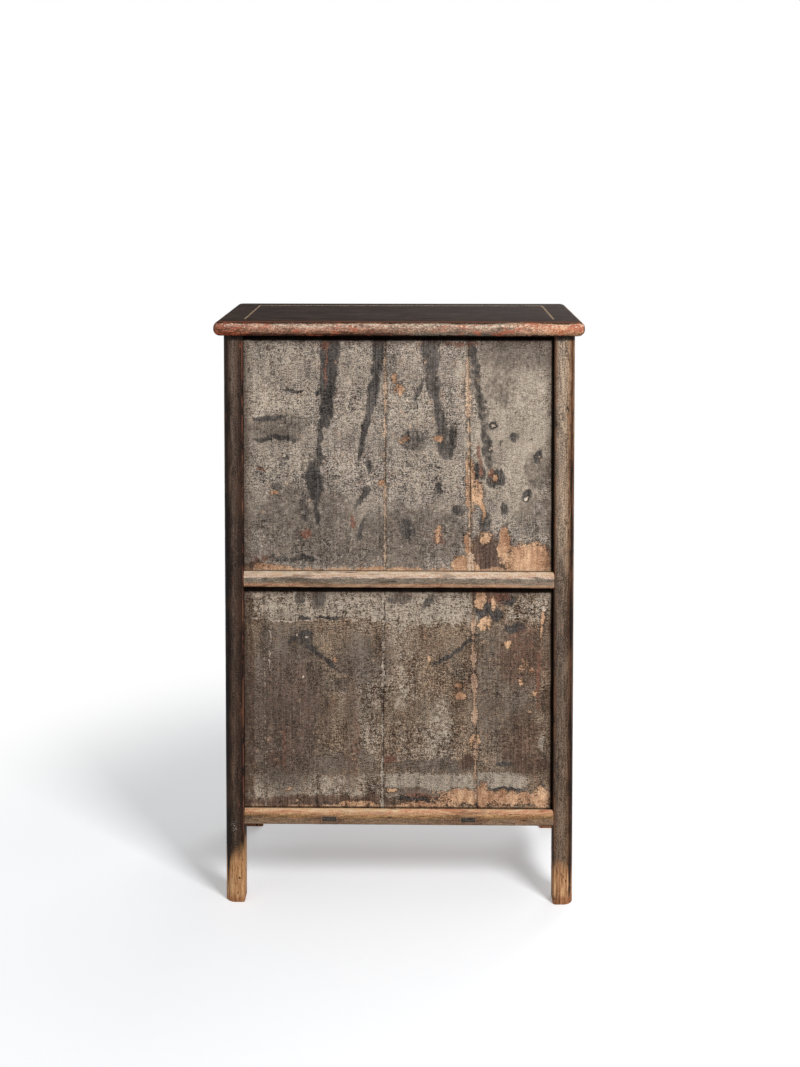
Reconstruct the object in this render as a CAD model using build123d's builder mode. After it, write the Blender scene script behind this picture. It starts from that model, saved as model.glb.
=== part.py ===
from build123d import *
import os

# Sloping-stile cabinet: four round-cornered posts that lean inward toward the top, an overhanging
# cap, framed panels on three sides and two doors that swing on wooden pivots.
# Origin at the bottom centre, +Z up, doors toward -Y, right side toward +X. All sizes in mm.

# Overall size
width = 960.0
depth = 500.0
height = 1605.0

# How far each foot stands out past the top of its own post
side_lean = 20.0
depth_lean = 18.0

# Fits
joint_clearance = 0.2
panel_clearance = 0.3
overrun = 5.0

# Posts
post_size = 54.0
post_outer_round = 28.0
post_arris_round = 6.0
post_hidden_round = 3.0
post_tenon_size = 12.0
post_tenon_height = 14.0
post_tenon_offset = 8.0

# Cap
cap_thick = 38.0
cap_overhang_side = 23.0
cap_overhang_depth = 22.0
cap_member_width = 76.0
cap_corner_round = 22.0
cap_edge_round = 17.0
cap_panel_thick = 13.0
cap_tongue_thick = 6.0
cap_tongue_reach = 7.0
cap_joint_gap = 0.6
cap_brace_width = 40.0
cap_brace_height = 18.0
cap_brace_place = 200.0
cap_tenon_thick = 10.0
cap_tenon_width = 20.0
cap_tenon_reach = 58.0
cap_tenon_rise = 16.0
cap_tenon_setback = 12.0

# Rails
rail_inset = 2.0
rail_thick = 34.0
rail_round = 9.0
middle_rail_low = 893.0
middle_rail_high = 43.0
bottom_rail_low = 225.0
bottom_rail_high = 44.0
side_rail_low = 200.0
rail_tenon_inset = 14.0
rail_tenon_thick = 12.0
rail_tenon_length = 16.0
rail_tenon_shoulder = 7.0

# Through tenons that show in the back
through_tenon_inset = 18.0
through_tenon_thick = 15.0
through_tenon_high = 30.0

# Panels and boards in their grooves
panel_inset = 12.0
panel_thick = 9.0
panel_reach = 7.5
board_seam_gap = 0.5
seam_tongue_thick = 3.0
seam_tongue_reach = 4.0

# Seams between the back boards, as shares of the half opening at a panel's top and at its bottom
upper_seam_shares = ((-0.443, -0.466), (0.088, 0.0925))
lower_seam_shares = ((-0.473, -0.504), (0.099, 0.107))

# Battens behind the back boards
batten_high = 38.0
batten_thick = 18.0
batten_place_share = 0.5

# Cabinet floor and shelf
floor_thick = 12.0
floor_rebate = 8.0
floor_clearance = 0.5
floor_notch_gap = 1.0
floor_brace_width = 40.0
floor_brace_high = 28.0
floor_brace_place = 189.0
floor_brace_tenon_high = 15.0
floor_brace_tenon_reach = 14.0
shelf_rail_thick = 24.0
shelf_rail_high = 36.0
shelf_brace_high = 20.0

# Aprons under the lowest rails
apron_inset = 6.0
apron_thick = 10.0
apron_high = 52.0
apron_end_high = 104.0
apron_end_width = 46.0
apron_round = 34.0
side_apron_high = 40.0
side_apron_end_high = 78.0

# Front: doors, centre stile and front bottom rail
front_rail_round = 4.0
door_inset = 2.0
door_thick = 28.0
door_side_gap = 2.0
door_meeting_gap = 1.5
door_bottom_gap = 2.5
door_top_gap = 3.0
door_rest_gap = 0.4
hanging_stile_width = 50.0
meeting_stile_width = 44.0
door_rail_high = 50.0
door_round = 13.5
door_panel_inset = 4.0
door_brace_high = 34.0
door_brace_thick = 12.0
door_brace_shares = (0.25, 0.75)
door_tenon_inset = 16.0
door_tenon_thick = 8.0
door_tenon_start = 12.0
door_tenon_high = 18.0
door_tenon_reach = 32.0
door_stub_reach = 8.0
pivot_radius = 7.0
pivot_length = 10.0
pivot_root = 26.0
pivot_clearance = 0.3
pivot_end_clearance = 0.2
centre_stile_width = 44.0
centre_stile_entry = 3.0
centre_stile_lift = 12.0
centre_foot_width = 24.0
centre_foot_thick = 10.0
centre_foot_length = 10.5
slide_clearance = 0.4

# Metal fittings
fitting_height = 900.0
plate_width = 30.0
plate_high = 150.0
plate_thick = 1.5
plate_round = 8.0
loop_radius = 6.5
loop_hole_radius = 3.6
loop_width = 6.0
pull_drop = 38.0
pull_reach = 5.5
pull_eye_radius = 4.0
pull_pin_radius = 1.5
pull_pin_clearance = 0.3
pull_eye_width = 5.0
pull_ear_width = 2.5
pull_ear_gap = 0.4
pull_width = 18.0
pull_length = 54.0
pull_thick = 2.5
pull_tip_round = 8.0

# Sizes that follow from the ones above
post_length = height - cap_thick
foot_x = width / 2 - cap_overhang_side + side_lean
foot_y = depth / 2 - cap_overhang_depth + depth_lean
lean_x = side_lean / post_length
lean_y = depth_lean / post_length
face_rise = (1 + lean_y**2) ** 0.5
side_rise = (1 + lean_x**2) ** 0.5
middle_rail_top = middle_rail_low + middle_rail_high
bottom_rail_top = bottom_rail_low + bottom_rail_high
floor_low = bottom_rail_top - floor_thick
shelf_low = middle_rail_top - floor_thick
rail_inner = rail_inset + rail_thick
floor_step_inset = rail_inner - floor_rebate
panel_inner = panel_inset + panel_thick
shelf_rail_inset = door_inset + door_thick + door_rest_gap
shelf_rail_low = middle_rail_top - shelf_rail_high
inner_x = width / 2 - cap_member_width
inner_y = depth / 2 - cap_member_width
cap_panel_low = height - cap_panel_thick
door_low = bottom_rail_top + door_bottom_gap
door_high = post_length - door_top_gap
door_meeting_x = centre_stile_width / 2 + door_meeting_gap
door_outer_inset = post_size + door_side_gap
pivot_inset = door_inset + door_thick / 2
pivot_side_inset = door_outer_inset + door_thick / 2
plate_x = door_meeting_x + meeting_stile_width / 2
through_tenon_low = side_rail_low + rail_tenon_shoulder
floor_brace_tenon_low = floor_low - (floor_brace_high + floor_brace_tenon_high) / 2
slot_depth = centre_stile_entry + centre_stile_lift + slide_clearance

os.makedirs("parts", exist_ok=True)


def save(piece, name):
    """Label a finished piece and write it under its own name."""
    piece.part.label = name
    export_step(piece.part, "parts/" + name + ".step")


# Places on the leaning cabinet


def half_width(z, inset=0.0):
    """Half the cabinet's width over the posts at height z, less an inset from each side."""
    return foot_x - inset - lean_x * z


def half_depth(z, inset=0.0):
    """Half the cabinet's depth over the posts at height z, less an inset from front and back."""
    return foot_y - inset - lean_y * z


def face_plane(end, inset):
    """Plane that leans with the back (end 1) or the front (end -1), sunk by the inset."""
    origin = (0, end * (foot_y - inset), 0)
    return Plane(origin=origin, x_dir=(-end, 0, 0), z_dir=(0, end, lean_y))


def side_plane(inset):
    """Plane that leans with the right side, sunk by the inset."""
    return Plane(origin=(foot_x - inset, 0, 0), x_dir=(0, 1, 0), z_dir=(1, 0, lean_x))


def face_slab(end, inset, thick, corners, mode=Mode.ADD):
    """Slab parallel to the back or the front face, with its corners given as (x, z)."""
    with BuildSketch(face_plane(end, inset)) as outline:
        Polygon(*[(-end * x, z * face_rise) for x, z in corners], align=None)
    extrude(outline.sketch, amount=thick, dir=(0, -end, 0), mode=mode)


def side_slab(inset, thick, corners, mode=Mode.ADD):
    """Slab parallel to the right side, with its corners given as (y, z)."""
    with BuildSketch(side_plane(inset)) as outline:
        Polygon(*[(y, z * side_rise) for y, z in corners], align=None)
    extrude(outline.sketch, amount=thick, dir=(-1, 0, 0), mode=mode)


def cross_slab(middle, thick, corners, mode=Mode.ADD):
    """Upright slab across the cabinet's depth, centred on x, with its corners given as (y, z)."""
    with BuildSketch(Plane.YZ.offset(middle - thick / 2)) as outline:
        Polygon(*corners, align=None)
    extrude(outline.sketch, amount=thick, mode=mode)


def face_opening(low, high, reach=0.0):
    """Outline between the posts, as seen from the front or back, with its ends let in by a reach."""
    at_low = half_width(low, post_size) + reach
    at_high = half_width(high, post_size) + reach
    return [(-at_low, low), (at_low, low), (at_high, high), (-at_high, high)]


def side_opening(low, high, reach=0.0):
    """Outline between the posts, as seen from the side, with its ends let in by a reach."""
    at_low = half_depth(low, post_size) + reach
    at_high = half_depth(high, post_size) + reach
    return [(-at_low, low), (at_low, low), (at_high, high), (-at_high, high)]


def mirrored(right_piece):
    """Add the left-hand twin of a finished right-hand piece."""
    mirror(right_piece.part, about=Plane.YZ)


# Joinery shared by the two pieces of each joint. A fit of zero gives the tenon, tongue or panel,
# and a fit of the clearance gives the mortise or groove cut for it.


def face_tenons(end, low, high, fit=0.0, mode=Mode.ADD):
    """Stub tenons at both ends of a rail between the posts of one face."""
    shoulder = rail_tenon_shoulder - fit
    outline = face_opening(low + shoulder, high - shoulder, rail_tenon_length + fit)
    face_slab(end, rail_tenon_inset - fit, rail_tenon_thick + 2 * fit, outline, mode)


def side_tenons(low, high, fit=0.0, mode=Mode.ADD):
    """Stub tenons at both ends of a rail between the front and the back post."""
    shoulder = rail_tenon_shoulder - fit
    outline = side_opening(low + shoulder, high - shoulder, rail_tenon_length + fit)
    side_slab(rail_tenon_inset - fit, rail_tenon_thick + 2 * fit, outline, mode)


def side_bottom_tenons(fit=0.0, mode=Mode.ADD):
    """Tenons of the side bottom rail: stopped in the front post and right through the back one."""
    low = through_tenon_low - fit
    high = through_tenon_low + through_tenon_high + fit
    front_low = -half_depth(low, post_size) - rail_tenon_length - fit
    front_high = -half_depth(high, post_size) - rail_tenon_length - fit
    outline = [(front_low, low), (foot_y, low), (foot_y, high), (front_high, high)]
    side_slab(through_tenon_inset - fit, through_tenon_thick + 2 * fit, outline, mode)


def back_panel_field(low, high, fit=0.0, mode=Mode.ADD):
    """Whole field of the back boards between two levels, let into rails and posts."""
    reach = panel_reach + fit
    outline = face_opening(low - reach, high + reach, reach)
    face_slab(1, panel_inset - fit, panel_thick + 2 * fit, outline, mode)


def side_panel_field(low, high, fit=0.0, mode=Mode.ADD):
    """Side panel between two levels, let into rails and posts."""
    reach = panel_reach + fit
    outline = side_opening(low - reach, high + reach, reach)
    side_slab(panel_inset - fit, panel_thick + 2 * fit, outline, mode)


def batten_level(low, high):
    """Lower edge of the batten behind the boards between two levels."""
    return low + (high - low) * batten_place_share - batten_high / 2


def batten_tenons(low, high, fit=0.0, mode=Mode.ADD):
    """Stub tenons at both ends of the batten behind the boards between two levels."""
    start = batten_level(low, high) + rail_tenon_shoulder - fit
    stop = batten_level(low, high) + batten_high - rail_tenon_shoulder + fit
    inset = panel_inner + batten_thick / 4
    outline = face_opening(start, stop, panel_reach + fit)
    face_slab(1, inset - fit, batten_thick / 2 + 2 * fit, outline, mode)


def shelf_rail_tenons(fit=0.0, mode=Mode.ADD):
    """Stub tenons of the rail that carries the front of the shelf."""
    shoulder = rail_tenon_shoulder - fit
    outline = face_opening(shelf_rail_low + shoulder, middle_rail_top - shoulder, rail_tenon_length + fit)
    inset = shelf_rail_inset + shelf_rail_thick / 4
    face_slab(-1, inset - fit, shelf_rail_thick / 2 + 2 * fit, outline, mode)


def floor_brace_tenons(fit=0.0, mode=Mode.ADD):
    """Tenons of the floor braces: stopped in the front rail and right through the back rail."""
    low = floor_brace_tenon_low - fit
    high = floor_brace_tenon_low + floor_brace_tenon_high + fit
    past = overrun if fit else 0.0
    outline = [
        (-half_depth(low, rail_inner) - floor_brace_tenon_reach - fit, low),
        (half_depth(low, rail_inset) + past, low),
        (half_depth(high, rail_inset) + past, high),
        (-half_depth(high, rail_inner) - floor_brace_tenon_reach - fit, high),
    ]
    for side in (-1, 1):
        cross_slab(side * floor_brace_place, floor_brace_width + 2 * fit, outline, mode)


def shelf_brace_tenons(fit=0.0, mode=Mode.ADD):
    """Stub tenons of the shelf braces in the shelf rail and in the back middle rail."""
    low = shelf_low - shelf_brace_high * 3 / 4 - fit
    high = shelf_low - shelf_brace_high / 4 + fit
    front = shelf_rail_inset + shelf_rail_thick - panel_reach - fit
    back = rail_inner - panel_reach - fit
    outline = [
        (-half_depth(low, front), low),
        (half_depth(low, back), low),
        (half_depth(high, back), high),
        (-half_depth(high, front), high),
    ]
    for side in (-1, 1):
        cross_slab(side * floor_brace_place, floor_brace_width + 2 * fit, outline, mode)


def post_top_tenons(end, fit=0.0, mode=Mode.ADD):
    """Pair of tenons on a right-hand post, one for each of the cap members mitred above it."""
    middle_x = half_width(post_length, post_size / 2)
    middle_y = half_depth(post_length, post_size / 2)
    places = [
        (middle_x + post_tenon_offset, end * (middle_y - post_tenon_offset)),
        (middle_x - post_tenon_offset, end * (middle_y + post_tenon_offset)),
    ]
    with BuildSketch(Plane.XY.offset(post_length)) as outline:
        with Locations(*places):
            Rectangle(post_tenon_size + 2 * fit, post_tenon_size + 2 * fit)
    extrude(outline.sketch, amount=post_tenon_height + fit, mode=mode)


def cap_corner_tenons(end, fit=0.0, mode=Mode.ADD):
    """Hidden tenons of a long cap member in the end members."""
    near = inner_x - fit
    far = inner_x + cap_tenon_reach + fit
    middle_y = end * (inner_y + cap_tenon_setback + cap_tenon_width / 2)
    with BuildSketch(Plane.XY.offset(post_length + cap_tenon_rise - fit)) as outline:
        for side in (-1, 1):
            with Locations((side * (near + far) / 2, middle_y)):
                Rectangle(far - near, cap_tenon_width + 2 * fit)
    extrude(outline.sketch, amount=cap_tenon_thick + 2 * fit, mode=mode)


def cap_panel_tongue(fit=0.0, mode=Mode.ADD):
    """Tongue all round the cap panel."""
    reach = 2 * (cap_tongue_reach + fit)
    with BuildSketch(Plane.XY.offset(cap_panel_low - fit)) as outline:
        Rectangle(2 * inner_x + reach, 2 * inner_y + reach)
    extrude(outline.sketch, amount=cap_tongue_thick + 2 * fit, mode=mode)


def cap_brace_tenons(fit=0.0, mode=Mode.ADD):
    """Stub tenons of the braces under the cap panel."""
    with BuildSketch(Plane.XY.offset(cap_panel_low - cap_brace_height * 3 / 4 - fit)) as outline:
        with Locations((-cap_brace_place, 0), (cap_brace_place, 0)):
            Rectangle(cap_brace_width + 2 * fit, 2 * (inner_y + cap_tongue_reach + fit))
    extrude(outline.sketch, amount=cap_brace_height / 2 + 2 * fit, mode=mode)


def pivot_plane(z):
    """Plane across the right door's pivot line at height z."""
    origin = (half_width(z, pivot_side_inset), -half_depth(z, pivot_inset), z)
    return Plane(origin=origin, x_dir=(1, 0, lean_x), z_dir=(-lean_x, lean_y, 1))


def pivot_pegs(fit=0.0, end_fit=0.0, mode=Mode.ADD):
    """Round pegs above and below the right door, on its leaning pivot line."""
    for start, stop in (
        (door_high - pivot_root, post_length + pivot_length + end_fit),
        (bottom_rail_top - pivot_length - end_fit, door_low + pivot_root),
    ):
        with BuildSketch(pivot_plane(start)) as outline:
            Circle(pivot_radius + fit)
        extrude(outline.sketch, amount=stop - start, mode=mode)


def centre_stile_outline(low, high, thick_width):
    """Upright outline of the centre stile or of a part of it, as (x, z)."""
    half = thick_width / 2
    return [(-half, low), (half, low), (half, high), (-half, high)]


# Posts


def post_blank(end, mode=Mode.ADD):
    """Plain right-hand post: rounded on the outside, carried up along the lean."""
    outer = (foot_x, end * foot_y)
    near_face = (foot_x - post_size, end * foot_y)
    near_side = (foot_x, end * (foot_y - post_size))
    hidden = (foot_x - post_size, end * (foot_y - post_size))
    with BuildSketch() as section:
        with Locations((foot_x - post_size / 2, end * (foot_y - post_size / 2))):
            Rectangle(post_size, post_size)
        fillet(section.vertices().sort_by_distance(outer)[0], post_outer_round)
        fillet(section.vertices().sort_by_distance(near_face)[0], post_arris_round)
        fillet(section.vertices().sort_by_distance(near_side)[0], post_arris_round)
        fillet(section.vertices().sort_by_distance(hidden)[0], post_hidden_round)
    lean = Vector(-lean_x, -end * lean_y, 1)
    extrude(section.sketch, amount=post_length * lean.length, dir=lean, mode=mode)


def cut_side_joints():
    """Grooves and mortises that the side's rails, panels and apron need in a post."""
    side_panel_field(floor_low, middle_rail_low, panel_clearance, Mode.SUBTRACT)
    side_panel_field(middle_rail_top, post_length, panel_clearance, Mode.SUBTRACT)
    side_tenons(middle_rail_low, middle_rail_top, joint_clearance, Mode.SUBTRACT)
    side_bottom_tenons(joint_clearance, Mode.SUBTRACT)
    side_apron_field(panel_clearance, Mode.SUBTRACT)


def side_apron_field(fit=0.0, mode=Mode.ADD):
    """Plain field of the side apron, let into the posts and the rail above."""
    reach = panel_reach + fit
    low = side_rail_low - side_apron_end_high - fit
    outline = side_opening(low, side_rail_low + reach, reach)
    side_slab(apron_inset - fit, apron_thick + 2 * fit, outline, mode)


def front_apron_field(fit=0.0, mode=Mode.ADD):
    """Plain field of the front apron, let into the posts and the rail above."""
    reach = panel_reach + fit
    low = bottom_rail_low - apron_end_high - fit
    outline = face_opening(low, bottom_rail_low + reach, reach)
    face_slab(-1, apron_inset - fit, apron_thick + 2 * fit, outline, mode)


with BuildPart() as post_back_right:
    post_blank(1)
    post_top_tenons(1)
    cut_side_joints()
    back_panel_field(bottom_rail_top, middle_rail_low, panel_clearance, Mode.SUBTRACT)
    back_panel_field(middle_rail_top, post_length, panel_clearance, Mode.SUBTRACT)
    face_tenons(1, bottom_rail_low, bottom_rail_top, joint_clearance, Mode.SUBTRACT)
    face_tenons(1, middle_rail_low, middle_rail_top, joint_clearance, Mode.SUBTRACT)
    batten_tenons(bottom_rail_top, middle_rail_low, joint_clearance, Mode.SUBTRACT)
    batten_tenons(middle_rail_top, post_length, joint_clearance, Mode.SUBTRACT)

with BuildPart() as post_front_right:
    post_blank(-1)
    post_top_tenons(-1)
    cut_side_joints()
    face_tenons(-1, bottom_rail_low, bottom_rail_top, joint_clearance, Mode.SUBTRACT)
    shelf_rail_tenons(joint_clearance, Mode.SUBTRACT)
    front_apron_field(panel_clearance, Mode.SUBTRACT)

with BuildPart() as post_back_left:
    mirrored(post_back_right)

with BuildPart() as post_front_left:
    mirrored(post_front_right)

save(post_back_right, "post_back_right")
save(post_front_right, "post_front_right")
save(post_back_left, "post_back_left")
save(post_front_left, "post_front_left")


# Cap: four mitred members with a full round edge, and a flush floating panel on two braces


def cap_blank(piece):
    """Whole cap outline with its softened corners and round edge."""
    with BuildSketch(Plane.XY.offset(post_length)) as outline:
        RectangleRounded(width, depth, cap_corner_round)
    extrude(outline.sketch, amount=cap_thick)
    levels = piece.faces().filter_by(Axis.Z)
    fillet(levels.edges(), cap_edge_round)


def keep_mitred(corners):
    """Keep only the member inside a mitred outline."""
    with BuildSketch(Plane.XY.offset(post_length - overrun)) as outline:
        Polygon(*corners, align=None)
    extrude(outline.sketch, amount=cap_thick + 2 * overrun, mode=Mode.INTERSECT)


outer_x = width / 2 + overrun
outer_y = depth / 2 + overrun


def long_member(piece, end):
    """Front or back cap member with its tenons and the grooves and mortises it needs."""
    cap_blank(piece)
    keep_mitred(
        [
            (outer_x, end * outer_y),
            (inner_x, end * inner_y),
            (-inner_x, end * inner_y),
            (-outer_x, end * outer_y),
        ]
    )
    cap_corner_tenons(end)
    cap_panel_tongue(panel_clearance, Mode.SUBTRACT)
    cap_brace_tenons(joint_clearance, Mode.SUBTRACT)
    post_top_tenons(end, joint_clearance, Mode.SUBTRACT)
    with BuildPart(mode=Mode.PRIVATE) as twin_mortises:
        post_top_tenons(end, joint_clearance)
    mirror(twin_mortises.part, about=Plane.YZ, mode=Mode.SUBTRACT)


with BuildPart() as cap_rail_back:
    long_member(cap_rail_back, 1)
    back_panel_field(middle_rail_top, post_length, panel_clearance, Mode.SUBTRACT)

with BuildPart() as door_sockets:
    pivot_pegs(pivot_clearance, pivot_end_clearance)

with BuildPart() as cap_rail_front:
    long_member(cap_rail_front, -1)
    add(door_sockets.part, mode=Mode.SUBTRACT)
    mirror(door_sockets.part, about=Plane.YZ, mode=Mode.SUBTRACT)
    face_slab(
        -1,
        door_inset - slide_clearance,
        door_thick + 2 * slide_clearance,
        centre_stile_outline(
            post_length - overrun, post_length + slot_depth, centre_stile_width + 2 * slide_clearance
        ),
        Mode.SUBTRACT,
    )

with BuildPart() as cap_end_right:
    cap_blank(cap_end_right)
    keep_mitred([(outer_x, outer_y), (inner_x, inner_y), (inner_x, -inner_y), (outer_x, -outer_y)])
    for cap_side in (-1, 1):
        cap_corner_tenons(cap_side, joint_clearance, Mode.SUBTRACT)
        post_top_tenons(cap_side, joint_clearance, Mode.SUBTRACT)
    cap_panel_tongue(panel_clearance, Mode.SUBTRACT)
    side_panel_field(middle_rail_top, post_length, panel_clearance, Mode.SUBTRACT)

with BuildPart() as cap_end_left:
    mirrored(cap_end_right)

with BuildPart() as cap_panel:
    with BuildSketch(Plane.XY.offset(cap_panel_low)):
        Rectangle(2 * (inner_x - cap_joint_gap), 2 * (inner_y - cap_joint_gap))
    extrude(amount=cap_panel_thick)
    cap_panel_tongue()

save(cap_rail_back, "cap_rail_back")
save(cap_rail_front, "cap_rail_front")
save(cap_end_right, "cap_end_right")
save(cap_end_left, "cap_end_left")
save(cap_panel, "cap_panel")


def keep_side(side):
    """Keep only what lies on one side of the middle plane."""
    keep = Keep.TOP if side > 0 else Keep.BOTTOM
    split(bisect_by=Plane.YZ, keep=keep)


for cap_side, cap_side_name in ((-1, "left"), (1, "right")):
    with BuildPart() as cap_brace:
        with BuildSketch(Plane.XY.offset(cap_panel_low - cap_brace_height)):
            with Locations((cap_side * cap_brace_place, 0)):
                Rectangle(cap_brace_width, 2 * inner_y)
        extrude(amount=cap_brace_height)
        cap_brace_tenons()
        keep_side(cap_side)
    save(cap_brace, "cap_brace_" + cap_side_name)


# Back: two rails, six boards and two battens


def face_rail(piece, end, low, high, edge_round):
    """Rail between the posts of one face, with its outer edges rounded."""
    face_slab(end, rail_inset, rail_thick, face_opening(low, high))
    outer_edges = piece.edges().filter_by(Axis.X).sort_by(Axis.Y)
    outer_edges = outer_edges[-2:] if end > 0 else outer_edges[:2]
    fillet(outer_edges, edge_round)
    face_tenons(end, low, high)


def cut_floor_rebate(end, low, high, step_inset):
    """Step along the inside of a rail on which a floor's edge lies."""
    outline = face_opening(low, high + overrun, overrun)
    face_slab(end, step_inset, rail_inner - step_inset + overrun, outline, Mode.SUBTRACT)


with BuildPart() as back_rail_middle:
    face_rail(back_rail_middle, 1, middle_rail_low, middle_rail_top, rail_round)
    cut_floor_rebate(1, shelf_low, middle_rail_top, floor_step_inset)
    back_panel_field(bottom_rail_top, middle_rail_low, panel_clearance, Mode.SUBTRACT)
    back_panel_field(middle_rail_top, post_length, panel_clearance, Mode.SUBTRACT)
    shelf_brace_tenons(joint_clearance, Mode.SUBTRACT)

with BuildPart() as back_rail_bottom:
    face_rail(back_rail_bottom, 1, bottom_rail_low, bottom_rail_top, rail_round)
    cut_floor_rebate(1, floor_low, bottom_rail_top, floor_step_inset)
    back_panel_field(bottom_rail_top, middle_rail_low, panel_clearance, Mode.SUBTRACT)
    floor_brace_tenons(joint_clearance, Mode.SUBTRACT)

save(back_rail_middle, "back_rail_middle")
save(back_rail_bottom, "back_rail_bottom")


def seam_places(z, low, high, seam_shares):
    """Places of the panel's two seams at height z, between its outer edges."""
    places = []
    for high_share, low_share in seam_shares:
        at_low = low_share * half_width(low, post_size)
        at_high = high_share * half_width(high, post_size)
        places.append(at_low + (at_high - at_low) * (z - low) / (high - low))
    edge = half_width(z, post_size) + panel_reach
    return [-edge, *places, edge]


def back_board(low, high, seam_shares, order):
    """One board of a back panel, counted from the left, tongued or grooved at its seams."""
    start = low - panel_reach
    stop = high + panel_reach
    at_start = seam_places(start, low, high, seam_shares)
    at_stop = seam_places(stop, low, high, seam_shares)
    left_gap = board_seam_gap / 2 if order > 0 else 0.0
    right_gap = board_seam_gap / 2 if order < 2 else 0.0
    outline = [
        (at_start[order] + left_gap, start),
        (at_start[order + 1] - right_gap, start),
        (at_stop[order + 1] - right_gap, stop),
        (at_stop[order] + left_gap, stop),
    ]
    face_slab(1, panel_inset, panel_thick, outline)
    is_middle = order == 1
    fit = 0.0 if is_middle else panel_clearance
    reach = seam_tongue_reach + fit
    tongue = [
        (at_start[1] - reach, start - 2 * fit),
        (at_start[2] + reach, start - 2 * fit),
        (at_stop[2] + reach, stop + 2 * fit),
        (at_stop[1] - reach, stop + 2 * fit),
    ]
    inset = panel_inset + (panel_thick - seam_tongue_thick) / 2
    mode = Mode.ADD if is_middle else Mode.SUBTRACT
    face_slab(1, inset - fit, seam_tongue_thick + 2 * fit, tongue, mode)


for field_name, field_low, field_high, field_seam_shares in (
    ("upper", middle_rail_top, post_length, upper_seam_shares),
    ("lower", bottom_rail_top, middle_rail_low, lower_seam_shares),
):
    for board_order, board_name in enumerate(("left", "middle", "right")):
        with BuildPart() as board:
            back_board(field_low, field_high, field_seam_shares, board_order)
        save(board, "back_board_" + field_name + "_" + board_name)
    with BuildPart() as batten:
        batten_low = batten_level(field_low, field_high)
        batten_outline = face_opening(batten_low, batten_low + batten_high)
        face_slab(1, panel_inner, batten_thick, batten_outline)
        batten_tenons(field_low, field_high)
    save(batten, "back_batten_" + field_name)


# Sides: rails, panels and aprons, made for the right and mirrored for the left


def round_side_edges(piece):
    """Round the two long outer edges of a side rail."""
    fillet(piece.edges().filter_by(Axis.Y).sort_by(Axis.X)[-2:], rail_round)


with BuildPart() as side_rail_middle_right:
    side_slab(rail_inset, rail_thick, side_opening(middle_rail_low, middle_rail_top))
    round_side_edges(side_rail_middle_right)
    side_tenons(middle_rail_low, middle_rail_top)
    side_panel_field(floor_low, middle_rail_low, panel_clearance, Mode.SUBTRACT)
    side_panel_field(middle_rail_top, post_length, panel_clearance, Mode.SUBTRACT)
    side_slab(
        floor_step_inset,
        floor_rebate + overrun,
        side_opening(shelf_low, middle_rail_top + overrun, overrun),
        Mode.SUBTRACT,
    )

with BuildPart() as side_through_tenons:
    side_bottom_tenons()
    with BuildSketch() as reach_outline:
        with Locations((foot_x - post_size / 2, 0)):
            Rectangle(post_size, 2 * foot_y)
        back_corner = (foot_x, foot_y)
        fillet(reach_outline.vertices().sort_by_distance(back_corner)[0], post_outer_round)
    back_lean = Vector(-lean_x, -lean_y, 1)
    extrude(amount=post_length, dir=back_lean, mode=Mode.INTERSECT)

with BuildPart() as side_rail_bottom_right:
    side_slab(rail_inset, rail_thick, side_opening(side_rail_low, floor_low))
    round_side_edges(side_rail_bottom_right)
    add(side_through_tenons.part)
    side_panel_field(floor_low, middle_rail_low, panel_clearance, Mode.SUBTRACT)
    side_apron_field(panel_clearance, Mode.SUBTRACT)

with BuildPart() as side_panel_upper_right:
    side_panel_field(middle_rail_top, post_length)

with BuildPart() as side_panel_lower_right:
    side_panel_field(floor_low, middle_rail_low)


with BuildPart() as side_apron_right:
    side_apron_field()
    side_space_low = side_rail_low - side_apron_end_high - overrun
    side_space_high = side_rail_low - side_apron_high
    with BuildSketch(side_plane(apron_inset)) as side_space:
        Polygon(
            (-half_depth(side_space_low, post_size + apron_end_width / 2), side_space_low * side_rise),
            (half_depth(side_space_low, post_size + apron_end_width / 2), side_space_low * side_rise),
            (half_depth(side_space_high, post_size + apron_end_width), side_space_high * side_rise),
            (-half_depth(side_space_high, post_size + apron_end_width), side_space_high * side_rise),
            align=None,
        )
        fillet(side_space.vertices().sort_by(Axis.Y)[-2:], apron_round)
    extrude(side_space.sketch, amount=apron_thick, dir=(-1, 0, 0), mode=Mode.SUBTRACT)

side_pieces = (
    (side_rail_middle_right, "side_rail_middle"),
    (side_rail_bottom_right, "side_rail_bottom"),
    (side_panel_upper_right, "side_panel_upper"),
    (side_panel_lower_right, "side_panel_lower"),
    (side_apron_right, "side_apron"),
)
for side_piece, side_piece_name in side_pieces:
    save(side_piece, side_piece_name + "_right")
    with BuildPart() as left_piece:
        mirrored(side_piece)
    save(left_piece, side_piece_name + "_left")


# Front bottom rail and apron

with BuildPart() as front_rail_bottom:
    face_rail(front_rail_bottom, -1, bottom_rail_low, bottom_rail_top, front_rail_round)
    cut_floor_rebate(-1, floor_low, bottom_rail_top, shelf_rail_inset)
    floor_brace_tenons(joint_clearance, Mode.SUBTRACT)
    front_apron_field(panel_clearance, Mode.SUBTRACT)
    add(door_sockets.part, mode=Mode.SUBTRACT)
    mirror(door_sockets.part, about=Plane.YZ, mode=Mode.SUBTRACT)
    face_slab(
        -1,
        pivot_inset - centre_foot_thick / 2 - slide_clearance,
        centre_foot_thick + 2 * slide_clearance,
        centre_stile_outline(
            bottom_rail_top - centre_foot_length - slide_clearance,
            bottom_rail_top + overrun,
            centre_foot_width + 2 * slide_clearance,
        ),
        Mode.SUBTRACT,
    )

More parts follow.
